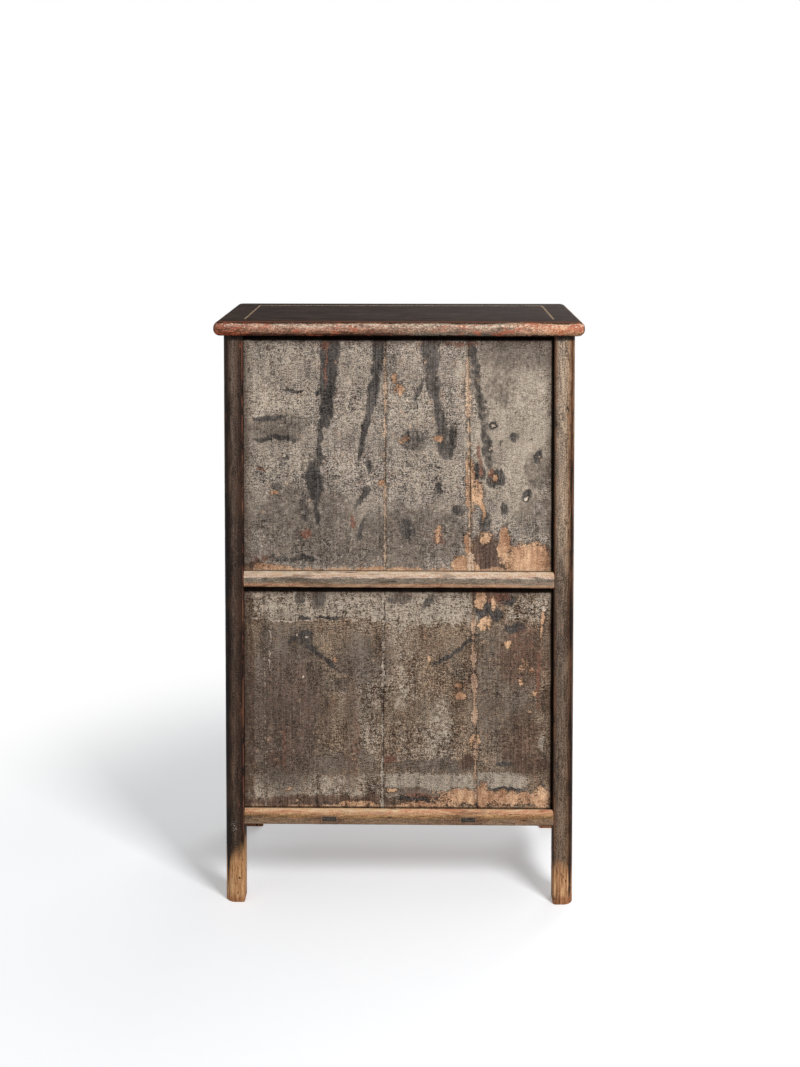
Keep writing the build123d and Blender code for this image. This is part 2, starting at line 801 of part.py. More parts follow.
with BuildPart() as front_apron:
    front_apron_field()
    front_space_low = bottom_rail_low - apron_end_high - overrun
    front_space_high = bottom_rail_low - apron_high
    with BuildSketch(face_plane(-1, apron_inset)) as front_space:
        Polygon(
            (-half_width(front_space_low, post_size + apron_end_width / 2), front_space_low * face_rise),
            (half_width(front_space_low, post_size + apron_end_width / 2), front_space_low * face_rise),
            (half_width(front_space_high, post_size + apron_end_width), front_space_high * face_rise),
            (-half_width(front_space_high, post_size + apron_end_width), front_space_high * face_rise),
            align=None,
        )
        fillet(front_space.vertices().sort_by(Axis.Y)[-2:], apron_round)
    extrude(front_space.sketch, amount=apron_thick, dir=(0, 1, 0), mode=Mode.SUBTRACT)

save(front_rail_bottom, "front_rail_bottom")
save(front_apron, "front_apron")


# Cabinet floor and shelf, each notched round the posts and carried on two braces


def floor_board(low, side_inset, front_inset):
    """Board with its edges on the rails' steps and a notch round each post."""
    high = low + floor_thick
    half_x = half_width(high, side_inset + floor_clearance)
    back_y = half_depth(high, floor_step_inset + floor_clearance)
    front_y = half_depth(high, front_inset + floor_clearance)
    notch_x = half_width(high, post_size) - floor_notch_gap
    notch_y = half_depth(high, post_size) - floor_notch_gap
    with BuildSketch(Plane.XY.offset(low)) as outline:
        with Locations((0, (back_y - front_y) / 2)):
            Rectangle(2 * half_x, back_y + front_y)
        for x_side in (-1, 1):
            for y_side in (-1, 1):
                with Locations((x_side * (notch_x + post_size / 2), y_side * (notch_y + post_size / 2))):
                    Rectangle(post_size, post_size, mode=Mode.SUBTRACT)
    extrude(outline.sketch, amount=floor_thick)


with BuildPart() as bottom_panel:
    floor_board(floor_low, panel_inner, shelf_rail_inset)

with BuildPart() as shelf_panel:
    floor_board(shelf_low, floor_step_inset, shelf_rail_inset + shelf_rail_thick - floor_rebate)

with BuildPart() as shelf_rail_front:
    face_slab(-1, shelf_rail_inset, shelf_rail_thick, face_opening(shelf_rail_low, middle_rail_top))
    shelf_rail_tenons()
    face_slab(
        -1,
        shelf_rail_inset + shelf_rail_thick - floor_rebate,
        floor_rebate + overrun,
        face_opening(shelf_low, middle_rail_top + overrun, overrun),
        Mode.SUBTRACT,
    )
    shelf_brace_tenons(joint_clearance, Mode.SUBTRACT)

save(bottom_panel, "bottom_panel")
save(shelf_panel, "shelf_panel")
save(shelf_rail_front, "shelf_rail_front")


def brace_body(side, low, high, front_inset, back_inset):
    """Brace across the cabinet's depth, shouldered against the rails in front and behind."""
    outline = [
        (-half_depth(low, front_inset), low),
        (half_depth(low, back_inset), low),
        (half_depth(high, back_inset), high),
        (-half_depth(high, front_inset), high),
    ]
    cross_slab(side * floor_brace_place, floor_brace_width, outline)


for brace_side, brace_side_name in ((-1, "left"), (1, "right")):
    with BuildPart() as bottom_brace:
        brace_body(brace_side, floor_low - floor_brace_high, floor_low, rail_inner, rail_inner)
        floor_brace_tenons()
        keep_side(brace_side)
    save(bottom_brace, "bottom_brace_" + brace_side_name)
    with BuildPart() as shelf_brace:
        shelf_front_inset = shelf_rail_inset + shelf_rail_thick
        brace_body(brace_side, shelf_low - shelf_brace_high, shelf_low, shelf_front_inset, rail_inner)
        shelf_brace_tenons()
        keep_side(brace_side)
    save(shelf_brace, "shelf_brace_" + brace_side_name)


# Centre stile between the doors: it lifts into the cap until its foot leaves the bottom rail

with BuildPart() as center_stile:
    face_slab(
        -1,
        door_inset,
        door_thick,
        centre_stile_outline(bottom_rail_top, post_length + centre_stile_entry, centre_stile_width),
    )
    face_slab(
        -1,
        pivot_inset - centre_foot_thick / 2,
        centre_foot_thick,
        centre_stile_outline(bottom_rail_top - centre_foot_length, door_low, centre_foot_width),
    )

save(center_stile, "center_stile")


# Doors: mitred frame, floating panel and two braces, made for the right and mirrored for the left

opening_low = door_low + door_rail_high
opening_high = door_high - door_rail_high
opening_meeting_x = door_meeting_x + meeting_stile_width
opening_outer_inset = door_outer_inset + hanging_stile_width


def door_corner(z, outer):
    """Place on the door frame's outline at height z: leaning outer edge or upright meeting edge."""
    return (half_width(z, door_outer_inset), z) if outer else (door_meeting_x, z)


def opening_corner(z, outer):
    """Place on the panel opening's outline at height z."""
    return (half_width(z, opening_outer_inset), z) if outer else (opening_meeting_x, z)


def door_member(piece, corners):
    """One member of the door frame, cut out of the whole door with its round hanging edge."""
    outline = [
        door_corner(door_low, False),
        door_corner(door_low, True),
        door_corner(door_high, True),
        door_corner(door_high, False),
    ]
    face_slab(-1, door_inset, door_thick, outline)
    upright_edges = piece.edges().sort_by(SortBy.LENGTH)[-4:]
    fillet(upright_edges.sort_by(Axis.X)[-2:], door_round)
    face_slab(-1, door_inset - overrun, door_thick + 2 * overrun, corners, Mode.INTERSECT)


def door_panel_field(fit=0.0, mode=Mode.ADD):
    """Door panel let into the frame all round."""
    reach = panel_reach + fit
    low = opening_low - reach
    high = opening_high + reach
    outline = [
        (opening_meeting_x - reach, low),
        (half_width(low, opening_outer_inset) + reach, low),
        (half_width(high, opening_outer_inset) + reach, high),
        (opening_meeting_x - reach, high),
    ]
    inset = door_inset + door_panel_inset
    face_slab(-1, inset - fit, panel_thick + 2 * fit, outline, mode)


def door_rail_tenons(top, fit=0.0, mode=Mode.ADD):
    """Hidden tenons of a door rail in the two stiles."""
    level = opening_high + door_tenon_start if top else opening_low - door_tenon_start - door_tenon_high
    low = level - fit
    high = level + door_tenon_high + fit
    reach = door_tenon_reach + fit
    outline = [
        (opening_meeting_x - reach, low),
        (half_width(low, opening_outer_inset) + reach, low),
        (half_width(high, opening_outer_inset) + reach, high),
        (opening_meeting_x - reach, high),
    ]
    inset = door_inset + door_tenon_inset
    face_slab(-1, inset - fit, door_tenon_thick + 2 * fit, outline, mode)


def door_brace_tenons(place_share, fit=0.0, mode=Mode.ADD):
    """Stub tenons of a brace behind the door panel."""
    middle = opening_low + (opening_high - opening_low) * place_share
    low = middle - door_brace_high / 4 - fit
    high = middle + door_brace_high / 4 + fit
    reach = door_stub_reach + fit
    outline = [
        (opening_meeting_x - reach, low),
        (half_width(low, opening_outer_inset) + reach, low),
        (half_width(high, opening_outer_inset) + reach, high),
        (opening_meeting_x - reach, high),
    ]
    inset = door_inset + door_panel_inset + panel_thick + door_brace_thick / 4
    face_slab(-1, inset - fit, door_brace_thick / 2 + 2 * fit, outline, mode)


def cut_stile_joints():
    """Groove and mortises of a door stile."""
    door_panel_field(panel_clearance, Mode.SUBTRACT)
    door_rail_tenons(True, joint_clearance, Mode.SUBTRACT)
    door_rail_tenons(False, joint_clearance, Mode.SUBTRACT)
    for place_share in door_brace_shares:
        door_brace_tenons(place_share, joint_clearance, Mode.SUBTRACT)


with BuildPart() as hanging_stile:
    door_member(
        hanging_stile,
        [
            door_corner(door_low, True),
            door_corner(door_high, True),
            opening_corner(opening_high, True),
            opening_corner(opening_low, True),
        ],
    )
    cut_stile_joints()
    pivot_pegs()

with BuildPart() as meeting_stile:
    door_member(
        meeting_stile,
        [
            door_corner(door_low, False),
            opening_corner(opening_low, False),
            opening_corner(opening_high, False),
            door_corner(door_high, False),
        ],
    )
    cut_stile_joints()

with BuildPart() as door_rail_top:
    door_member(
        door_rail_top,
        [
            opening_corner(opening_high, False),
            opening_corner(opening_high, True),
            door_corner(door_high, True),
            door_corner(door_high, False),
        ],
    )
    door_rail_tenons(True)
    door_panel_field(panel_clearance, Mode.SUBTRACT)
    pivot_pegs(joint_clearance, joint_clearance, Mode.SUBTRACT)

with BuildPart() as door_rail_bottom:
    door_member(
        door_rail_bottom,
        [
            door_corner(door_low, False),
            door_corner(door_low, True),
            opening_corner(opening_low, True),
            opening_corner(opening_low, False),
        ],
    )
    door_rail_tenons(False)
    door_panel_field(panel_clearance, Mode.SUBTRACT)
    pivot_pegs(joint_clearance, joint_clearance, Mode.SUBTRACT)

with BuildPart() as door_panel:
    door_panel_field()


def door_brace(place_share):
    """Brace across the back of the door panel."""
    middle = opening_low + (opening_high - opening_low) * place_share
    low = middle - door_brace_high / 2
    high = middle + door_brace_high / 2
    outline = [
        (opening_meeting_x, low),
        (half_width(low, opening_outer_inset), low),
        (half_width(high, opening_outer_inset), high),
        (opening_meeting_x, high),
    ]
    face_slab(-1, door_inset + door_panel_inset + panel_thick, door_brace_thick, outline)
    door_brace_tenons(place_share)


with BuildPart() as door_brace_lower:
    door_brace(door_brace_shares[0])

with BuildPart() as door_brace_upper:
    door_brace(door_brace_shares[1])


# Metal fittings: face plates with their loops, and a drop pull on each door


def fitting_plane(x, reach, z):
    """Plane across the cabinet's width at a fitting, with its first direction straight out."""
    origin = Vector(x, -half_depth(z, door_inset - plate_thick), z) + Vector(0, -reach, reach * lean_y)
    return Plane(origin=origin, x_dir=(0, -1, lean_y), z_dir=(1, 0, 0))


def lock_plate(x):
    """Rounded plate on the face of a stile, with a loop that stands out of it."""
    with BuildSketch(face_plane(-1, door_inset - plate_thick)) as outline:
        with Locations((x, fitting_height * face_rise)):
            RectangleRounded(plate_width, plate_high, plate_round)
    extrude(outline.sketch, amount=plate_thick, dir=(0, 1, 0))
    with BuildSketch(fitting_plane(x - loop_width / 2, 0, fitting_height)) as loop:
        with Locations((loop_radius, 0)):
            Circle(loop_radius)
        with Locations((loop_radius / 2 - plate_thick / 4, 0)):
            Rectangle(loop_radius + plate_thick / 2, 2 * loop_radius)
        with Locations((loop_radius, 0)):
            Circle(loop_hole_radius, mode=Mode.SUBTRACT)
    extrude(loop.sketch, amount=loop_width)


def pull_ears(x):
    """Pair of ears with the pin that the drop pull swings on."""
    z = fitting_height - pull_drop
    span = pull_eye_width / 2 + pull_ear_gap
    for start in (-span - pull_ear_width, span):
        with BuildSketch(fitting_plane(x + start, 0, z)) as ear:
            with Locations((pull_reach, 0)):
                Circle(pull_eye_radius)
            with Locations((pull_reach / 2 - plate_thick / 4, 0)):
                Rectangle(pull_reach + plate_thick / 2, 2 * pull_eye_radius)
        extrude(ear.sketch, amount=pull_ear_width)
    with BuildSketch(fitting_plane(x - span, pull_reach, z)) as pin:
        Circle(pull_pin_radius)
    extrude(pin.sketch, amount=2 * span)


def drop_pull(x):
    """Flat drop with an eye round the pin, hanging plumb and clear of its plate."""
    z = fitting_height - pull_drop
    with BuildSketch(fitting_plane(x - pull_eye_width / 2, pull_reach, z)) as eye:
        Circle(pull_eye_radius)
    extrude(eye.sketch, amount=pull_eye_width)
    half = pull_width / 2
    neck = pull_eye_width / 2
    hang_shift = pull_length / 2 * lean_y
    inset = door_inset - plate_thick - pull_reach + hang_shift - pull_thick / 2
    with BuildSketch(face_plane(-1, inset)) as drop:
        with Locations((x, z * face_rise)):
            Polygon(
                (-neck, 0),
                (neck, 0),
                (neck, -pull_eye_radius * 2),
                (half, -pull_length + pull_tip_round * 2),
                (half, -pull_length),
                (-half, -pull_length),
                (-half, -pull_length + pull_tip_round * 2),
                (-neck, -pull_eye_radius * 2),
                align=None,
            )
        fillet(drop.vertices().sort_by(Axis.Y)[:2], pull_tip_round)
    extrude(drop.sketch, amount=pull_thick, dir=(0, 1, 0))
    with BuildSketch(fitting_plane(x - pull_eye_width / 2, pull_reach, z)) as bore:
        Circle(pull_pin_radius + pull_pin_clearance)
    extrude(bore.sketch, amount=pull_eye_width, mode=Mode.SUBTRACT)


with BuildPart() as lock_plate_center:
    lock_plate(0)

with BuildPart() as door_plate:
    lock_plate(plate_x)
    pull_ears(plate_x)

with BuildPart() as pull:
    drop_pull(plate_x)

save(lock_plate_center, "lock_plate_center")

door_pieces = (
    (hanging_stile, "hanging_stile"),
    (meeting_stile, "meeting_stile"),
    (door_rail_top, "rail_top"),
    (door_rail_bottom, "rail_bottom"),
    (door_panel, "panel"),
    (door_brace_lower, "brace_lower"),
    (door_brace_upper, "brace_upper"),
    (door_plate, "lock_plate"),
    (pull, "pull"),
)
for door_piece, door_piece_name in door_pieces:
    save(door_piece, "door_right_" + door_piece_name)
    with BuildPart() as left_door_piece:
        mirrored(door_piece)
    save(left_door_piece, "door_left_" + door_piece_name)
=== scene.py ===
import logging
import math
from dataclasses import dataclass, field
from enum import Enum
from typing import Callable, Sequence

import bmesh
import bpy
from mathutils import Matrix, Vector, noise


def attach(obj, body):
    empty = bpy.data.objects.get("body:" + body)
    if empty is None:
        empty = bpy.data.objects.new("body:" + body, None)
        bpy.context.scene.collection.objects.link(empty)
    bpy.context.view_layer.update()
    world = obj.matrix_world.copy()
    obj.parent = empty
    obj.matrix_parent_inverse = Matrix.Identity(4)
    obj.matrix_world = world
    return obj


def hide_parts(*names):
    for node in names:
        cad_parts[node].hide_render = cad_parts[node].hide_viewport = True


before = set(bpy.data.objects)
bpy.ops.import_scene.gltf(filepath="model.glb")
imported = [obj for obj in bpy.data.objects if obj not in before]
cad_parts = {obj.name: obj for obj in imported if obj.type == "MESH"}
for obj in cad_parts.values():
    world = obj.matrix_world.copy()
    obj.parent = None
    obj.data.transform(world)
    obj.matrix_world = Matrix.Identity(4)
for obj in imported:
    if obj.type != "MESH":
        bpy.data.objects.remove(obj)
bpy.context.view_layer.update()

LOG = logging.getLogger("cabinet")
Rgb = tuple[float, float, float]
Socket = bpy.types.NodeSocket


# Places on the leaning cabinet


@dataclass(frozen=True)
class Stance:
    """How the four posts stand: their feet, their lean toward the cap and their section, in metres."""

    foot_x: float = 0.477
    foot_y: float = 0.246
    lean_x: float = 0.020 / 1.567
    lean_y: float = 0.018 / 1.567
    post_top: float = 1.567
    post_size: float = 0.054

    def half_width(self, z: float, inset: float = 0.0) -> float:
        """Half the width over the posts at height z, less an inset."""
        return self.foot_x - inset - self.lean_x * z

    def half_depth(self, z: float, inset: float = 0.0) -> float:
        """Half the depth over the posts at height z, less an inset."""
        return self.foot_y - inset - self.lean_y * z


STANCE = Stance()


class Face(Enum):
    """The four upright faces, each as the axis that it looks along and the way that it looks."""

    BACK = (1, 1)
    FRONT = (1, -1)
    RIGHT = (0, 1)
    LEFT = (0, -1)

    @property
    def outward(self) -> Vector:
        """Direction out of the cabinet."""
        axis, way = self.value
        return Vector((way, 0.0, 0.0)) if axis == 0 else Vector((0.0, way, 0.0))


@dataclass(frozen=True)
class Line:
    """A straight edge of a piece: its place across the face at the piece's foot and at its head."""

    foot: float
    head: float

    def at(self, share: float) -> float:
        """Place across the face at a share of the piece's height."""
        return self.foot + (self.head - self.foot) * share


@dataclass(frozen=True)
class Seat:
    """Where a squared blank goes on a leaning face of the cabinet.

    Args:
        face: the face that it belongs to.
        inset: how far its outer surface lies inside the posts' outer surface.
        start: the line of its first end.
        stop: the line of its second end.
        low: height of its lower edge.
        high: height of its upper edge.
    """

    face: Face
    inset: float
    start: Line
    stop: Line
    low: float
    high: float

    @property
    def size(self) -> Vector:
        """Length, a unit of thickness, and height of the blank before it leans."""
        return Vector((self.stop.at(0.5) - self.start.at(0.5), 1.0, self.high - self.low))

    def point(self, spot: Vector) -> Vector:
        """Carry a point of the blank to its place on the cabinet.

        Args:
            spot: the point as distance along, depth under the face, and height over the foot.

        Returns:
            The same point in the cabinet's frame.
        """
        size = self.size
        share = spot.z / size.z
        z = self.low + spot.z
        start, stop = self.start.at(share), self.stop.at(share)
        across = start + (stop - start) * spot.x / size.x
        axis, way = self.face.value
        if axis == 0:
            return Vector((way * STANCE.half_width(z, self.inset + spot.y), across, z))
        return Vector((across, way * STANCE.half_depth(z, self.inset + spot.y), z))


def between_posts(face: Face, inset: float, low: float, high: float, reach: float = 0.0) -> Seat:
    """Seat of a piece that spans the opening between two posts.

    Args:
        face: the face that it belongs to.
        inset: how far it lies inside the posts' outer surface.
        low: height of its lower edge.
        high: height of its upper edge.
        reach: how far each end runs into its post.

    Returns:
        The seat.
    """
    half = STANCE.half_width if face.value[0] == 1 else STANCE.half_depth
    at_low = half(low, STANCE.post_size) + reach
    at_high = half(high, STANCE.post_size) + reach
    return Seat(face, inset, Line(-at_low, -at_high), Line(at_low, at_high), low, high)


# Timber


class Blank:
    """A piece of timber: planed square, rounded, ruled into a fine mesh, set in place and worn."""

    def __init__(self, size: Sequence[float], origin: Sequence[float] = (0.0, 0.0, 0.0)) -> None:
        """Plane a block with its lowest corner at the origin.

        Args:
            size: length, thickness and height.
            origin: place of the lowest corner.
        """
        self.mesh = bmesh.new()
        bmesh.ops.create_cube(self.mesh, size=1.0)
        bmesh.ops.scale(self.mesh, vec=Vector(size), verts=self.mesh.verts[:])
        middle = Vector(origin) + Vector(size) / 2
        bmesh.ops.translate(self.mesh, vec=middle, verts=self.mesh.verts[:])

    def round_over(self, pick: Callable[[Vector, int], bool], radius: float, segments: int) -> "Blank":
        """Round the picked edges.

        Args:
            pick: tells from an edge's middle and the axis it runs along whether it is rounded.
            radius: the radius of the round.
            segments: flats in the round.

        Returns:
            This blank.
        """
        edges = []
        for edge in self.mesh.edges:
            run = (edge.verts[1].co - edge.verts[0].co).normalized()
            axis = max(range(3), key=lambda index: abs(run[index]))
            if pick((edge.verts[0].co + edge.verts[1].co) / 2, axis):
                edges.append(edge)
        bmesh.ops.bevel(
            self.mesh, geom=edges, offset=radius, offset_type="OFFSET", segments=segments,
            profile=0.5, affect="EDGES", clamp_overlap=False, material=-1,
        )
        return self

    def rule(self, axis: int, spacing: float) -> "Blank":
        """Divide every long edge along an axis, so that wear has points to work on.

        Args:
            axis: the axis that the divided edges run along.
            spacing: distance between the new points.

        Returns:
            This blank.
        """
        long_edges = []
        for edge in self.mesh.edges:
            run = edge.verts[1].co - edge.verts[0].co
            if abs(run[axis]) > 1.5 * spacing and abs(run[axis]) > 0.999 * run.length:
                long_edges.append(edge)
        if long_edges:
            cuts = max(1, round(max(edge.calc_length() for edge in long_edges) / spacing) - 1)
            bmesh.ops.subdivide_edges(self.mesh, edges=long_edges, cuts=cuts, use_grid_fill=True)
        return self

    def slice(self, axis: int, start: float, stop: float, spacing: float) -> "Blank":
        """Cut the surface by evenly spaced planes across an axis.

        Args:
            axis: the axis that the planes lie across.
            start: place of the first plane.
            stop: place after the last plane.
            spacing: distance between planes.

        Returns:
            This blank.
        """
        normal = Vector((0.0, 0.0, 0.0))
        normal[axis] = 1.0
        for step in range(int((stop - start) / spacing) + 1):
            self._cut(normal * (start + step * spacing), normal, False)
        return self

    def trim(self, point: Vector, normal: Vector) -> "Blank":
        """Saw off what lies beyond a plane and close the cut.

        Args:
            point: a point of the plane.
            normal: the plane's direction, toward the waste.

        Returns:
            This blank.
        """
        self._cut(point, normal, True)
        rim = [edge for edge in self.mesh.edges if edge.is_boundary]
        bmesh.ops.holes_fill(self.mesh, edges=rim, sides=0)
        return self

    def _cut(self, point: Vector, normal: Vector, clear: bool) -> None:
        """Cut the surface by a plane, and clear what lies beyond it if asked."""
        geometry = self.mesh.verts[:] + self.mesh.edges[:] + self.mesh.faces[:]
        bmesh.ops.bisect_plane(
            self.mesh, geom=geometry, dist=1e-6, plane_co=point, plane_no=normal, clear_outer=clear
        )

    def settle(self, place: Callable[[Vector], Vector]) -> "Blank":
        """Carry every point to its place on the cabinet.

        Args:
            place: gives a point's place on the cabinet from its place on the blank.

        Returns:
            This blank.
        """
        for vert in self.mesh.verts:
            vert.co = place(vert.co)
        bmesh.ops.recalc_face_normals(self.mesh, faces=self.mesh.faces[:])
        return self

    def wear(self, grain: int, depth: float, bite: float, seed: int, face: Vector | None = None) -> "Blank":
        """Sink the surface a little everywhere, and more where the arrises were knocked and rubbed.

        Args:
            grain: the axis that the grain runs along.
            depth: deepest general sinking.
            bite: deepest loss at an arris.
            seed: picks the pattern of the wear.
            face: when given, the wear only goes straight into this face.

        Returns:
            This blank.
        """
        self.mesh.normal_update()
        rubbed = self.mesh.verts.layers.float.new("wear")
        shift = Vector((seed * 1.7, seed * 3.1, seed * 0.9))
        stretch = Vector((1.0, 1.0, 1.0))
        stretch[grain] = 0.2
        moves = []
        for vert in self.mesh.verts:
            spot = Vector(a * b for a, b in zip(vert.co, stretch)) + shift
            turn = max((edge.calc_face_angle(0.0) for edge in vert.link_edges), default=0.0)
            arris = min(1.0, turn / 0.5)
            broad = 0.5 + 0.5 * noise.noise(spot * 14.0)
            fine = 0.5 + 0.5 * noise.noise(spot * 90.0)
            nick = max(0.0, noise.noise(vert.co * 45.0 + shift) - 0.2)
            sink = depth * (0.45 + 0.4 * broad + 0.15 * fine) + bite * arris * (0.15 * fine + nick)
            vert[rubbed] = arris * (0.4 + 0.6 * broad)
            if face is None:
                moves.append(-vert.normal * sink)
            else:
                moves.append(-face * sink * max(0.0, vert.normal.dot(face)))
        for vert, move in zip(self.mesh.verts, moves):
            vert.co += move
        return self

    def take(self, other: "Blank") -> "Blank":
        """Take a second blank into this one, which leaves it empty."""
        spare = bpy.data.meshes.new("spare")
        other.mesh.to_mesh(spare)
        other.mesh.free()
        self.mesh.from_mesh(spare)
        bpy.data.meshes.remove(spare)
        return self

    def piece(self, name: str) -> bpy.types.Object:
        """Make the finished object.

        Args:
            name: the object's name.

        Returns:
            The object, with its place in its mesh.
        """
        mesh = bpy.data.meshes.new(name)
        self.mesh.to_mesh(mesh)
        self.mesh.free()
        mesh.shade_smooth()
        mesh.set_sharp_from_angle(angle=math.radians(38))
        made = bpy.data.objects.new(name, mesh)
        bpy.context.scene.collection.objects.link(made)
        return made


# Node networks


def shade(red: float, green: float, blue: float) -> tuple[float, float, float, float]:
    """Colour for a shader, from the values that it shows on a screen.

    Args:
        red: red from 0 to 255.
        green: green from 0 to 255.
        blue: blue from 0 to 255.

    Returns:
        The scene-linear colour with full cover.
    """

    def linear(value: float) -> float:
        """One channel without the screen's curve."""
        share = value / 255
        return share / 12.92 if share <= 0.04045 else ((share + 0.055) / 1.055) ** 2.4

    return (linear(red), linear(green), linear(blue), 1.0)


class Graph:
    """The node network of one finish, which reads the object's own coordinates."""

    def __init__(self, name: str) -> None:
        """Start a material.

        Args:
            name: the material's name.
        """
        self.material = bpy.data.materials.new(name)
        self.material.use_nodes = True
        self.nodes = self.material.node_tree.nodes
        self.links = self.material.node_tree.links
        self.shader = self.nodes["Principled BSDF"]
        self.place = self.nodes.new("ShaderNodeTexCoord").outputs["Object"]
        split = self.nodes.new("ShaderNodeSeparateXYZ")
        self.links.new(self.place, split.inputs[0])
        self.x, self.y, self.z = split.outputs

    def feed(self, entry: Socket, value: object) -> None:
        """Link a socket, or set its value where a plain value is given."""
        if isinstance(value, bpy.types.NodeSocket):
            self.links.new(value, entry)
        else:
            entry.default_value = value

    def math(self, operation: str, first: object, second: object = 0.0, clamp: bool = False) -> Socket:
        """Arithmetic on two values.

        Args:
            operation: the node's operation.
            first: first value.
            second: second value.
            clamp: keep the result between 0 and 1.

        Returns:
            The result.
        """
        node = self.nodes.new("ShaderNodeMath")
        node.operation = operation
        node.use_clamp = clamp
        self.feed(node.inputs[0], first)
        self.feed(node.inputs[1], second)
        return node.outputs[0]

    def add(self, first: object, second: object) -> Socket:
        """Sum of two values."""
        return self.math("ADD", first, second)

    def times(self, first: object, second: object) -> Socket:
        """Product of two values."""
        return self.math("MULTIPLY", first, second)

    def less(self, first: object, second: object) -> Socket:
        """First value less the second."""
        return self.math("SUBTRACT", first, second)

    def vector(self, operation: str, first: Socket, second: Sequence[float]) -> Socket:
        """Vector arithmetic with a constant, whose result is a vector, or a value for a dot product."""
        node = self.nodes.new("ShaderNodeVectorMath")
        node.operation = operation
        self.links.new(first, node.inputs[0])
        node.inputs[1].default_value = second
        return node.outputs["Value" if operation == "DOT_PRODUCT" else "Vector"]

    def inward(self, axis: Socket, foot: float, lean: float) -> Socket:
        """Distance under the posts' outer surface along one axis."""
        return self.less(self.less(foot, self.math("ABSOLUTE", axis)), self.times(self.z, lean))

    def blend(self, *parts: tuple[float, object]) -> Socket:
        """Weighted sum of several values."""
        total: object = 0.0
        for weight, value in parts:
            node = self.nodes.new("ShaderNodeMath")
            node.operation = "MULTIPLY_ADD"
            self.feed(node.inputs[0], value)
            node.inputs[1].default_value = weight
            self.feed(node.inputs[2], total)
            total = node.outputs[0]
        return total

    def smooth(self, value: object, start: object, stop: object, top: float = 1.0) -> Socket:
        """Soft step.

        Args:
            value: what is measured.
            start: where the step is 0.
            stop: where it is full.
            top: what full is.

        Returns:
            The step.
        """
        node = self.nodes.new("ShaderNodeMapRange")
        node.interpolation_type = "SMOOTHSTEP"
        self.feed(node.inputs["Value"], value)
        self.feed(node.inputs["From Min"], start)
        self.feed(node.inputs["From Max"], stop)
        node.inputs["To Max"].default_value = top
        return node.outputs["Result"]

    def mapped(self, scale: Sequence[float], shift: Sequence[float] = (0.0, 0.0, 0.0)) -> Socket:
        """The object's coordinates, scaled along each axis and shifted."""
        node = self.nodes.new("ShaderNodeMapping")
        self.links.new(self.place, node.inputs["Vector"])
        node.inputs["Scale"].default_value = scale
        node.inputs["Location"].default_value = shift
        return node.outputs[0]

    def noise(
        self, scale: float, stretch: Sequence[float] = (1.0, 1.0, 1.0), detail: float = 3.0,
        rough: float = 0.6, shift: float = 0.0,
    ) -> Socket:
        """Cloudy pattern.

        Args:
            scale: clouds to the metre.
            stretch: factor along each axis, below 1 for long streaks.
            detail: octaves.
            rough: weight of the fine octaves.
            shift: picks another part of the pattern.

        Returns:
            A value from 0 to 1.
        """
        node = self.nodes.new("ShaderNodeTexNoise")
        self.links.new(self.mapped(stretch, (shift, shift * 0.7, shift * 1.3)), node.inputs["Vector"])
        node.inputs["Scale"].default_value = scale
        node.inputs["Detail"].default_value = detail
        node.inputs["Roughness"].default_value = rough
        return node.outputs["Fac"]

    def cells(self, scale: float, stretch: Sequence[float] = (1.0, 1.0, 1.0)) -> Socket:
        """Distance to the nearest wall between irregular cells, for cracks."""
        node = self.nodes.new("ShaderNodeTexVoronoi")
        node.feature = "DISTANCE_TO_EDGE"
        self.links.new(self.mapped(stretch), node.inputs["Vector"])
        node.inputs["Scale"].default_value = scale
        return node.outputs["Distance"]

    def mix(self, share: object, first: object, second: object, blend: str = "MIX") -> Socket:
        """Two colours mixed.

        Args:
            share: share of the second colour.
            first: first colour.
            second: second colour.
            blend: the node's way of mixing.

        Returns:
            The colour.
        """
        node = self.nodes.new("ShaderNodeMix")
        node.data_type = "RGBA"
        node.blend_type = blend
        self.feed(node.inputs[0], share)
        self.feed(node.inputs[6], first)
        self.feed(node.inputs[7], second)
        return node.outputs[2]

    def ramp(self, value: Socket, stops: Sequence[tuple[float, Rgb]]) -> Socket:
        """Colours along a value.

        Args:
            value: the value from 0 to 1.
            stops: places and colours.

        Returns:
            The colour.
        """
        node = self.nodes.new("ShaderNodeValToRGB")
        self.links.new(value, node.inputs[0])
        elements = node.color_ramp.elements
        while len(elements) < len(stops):
            elements.new(0.5)
        for element, (place, colour) in zip(elements, stops):
            element.position = place
            element.color = shade(*colour)
        return node.outputs[0]

    def attribute(self, name: str) -> Socket:
        """A value stored on the mesh."""
        node = self.nodes.new("ShaderNodeAttribute")
        node.attribute_name = name
        return node.outputs["Fac"]

    def bump(self, height: Socket, distance: float, strength: float = 1.0) -> None:
        """Relief of the surface."""
        node = self.nodes.new("ShaderNodeBump")
        node.inputs["Distance"].default_value = distance
        node.inputs["Strength"].default_value = strength
        self.links.new(height, node.inputs["Height"])
        self.links.new(node.outputs[0], self.shader.inputs["Normal"])

    def close(self, colour: Socket, roughness: Socket, metal: float = 0.0, gloss: object = 0.5) -> bpy.types.Material:
        """Put colour and roughness on the shader.

        Args:
            colour: base colour.
            roughness: roughness.
            metal: how metallic the surface is.
            gloss: specular level.

        Returns:
            The finished material.
        """
        self.links.new(colour, self.shader.inputs["Base Color"])
        self.links.new(roughness, self.shader.inputs["Roughness"])
        self.shader.inputs["Metallic"].default_value = metal
        self.feed(self.shader.inputs["Specular IOR Level"], gloss)
        return self.material


# Finishes


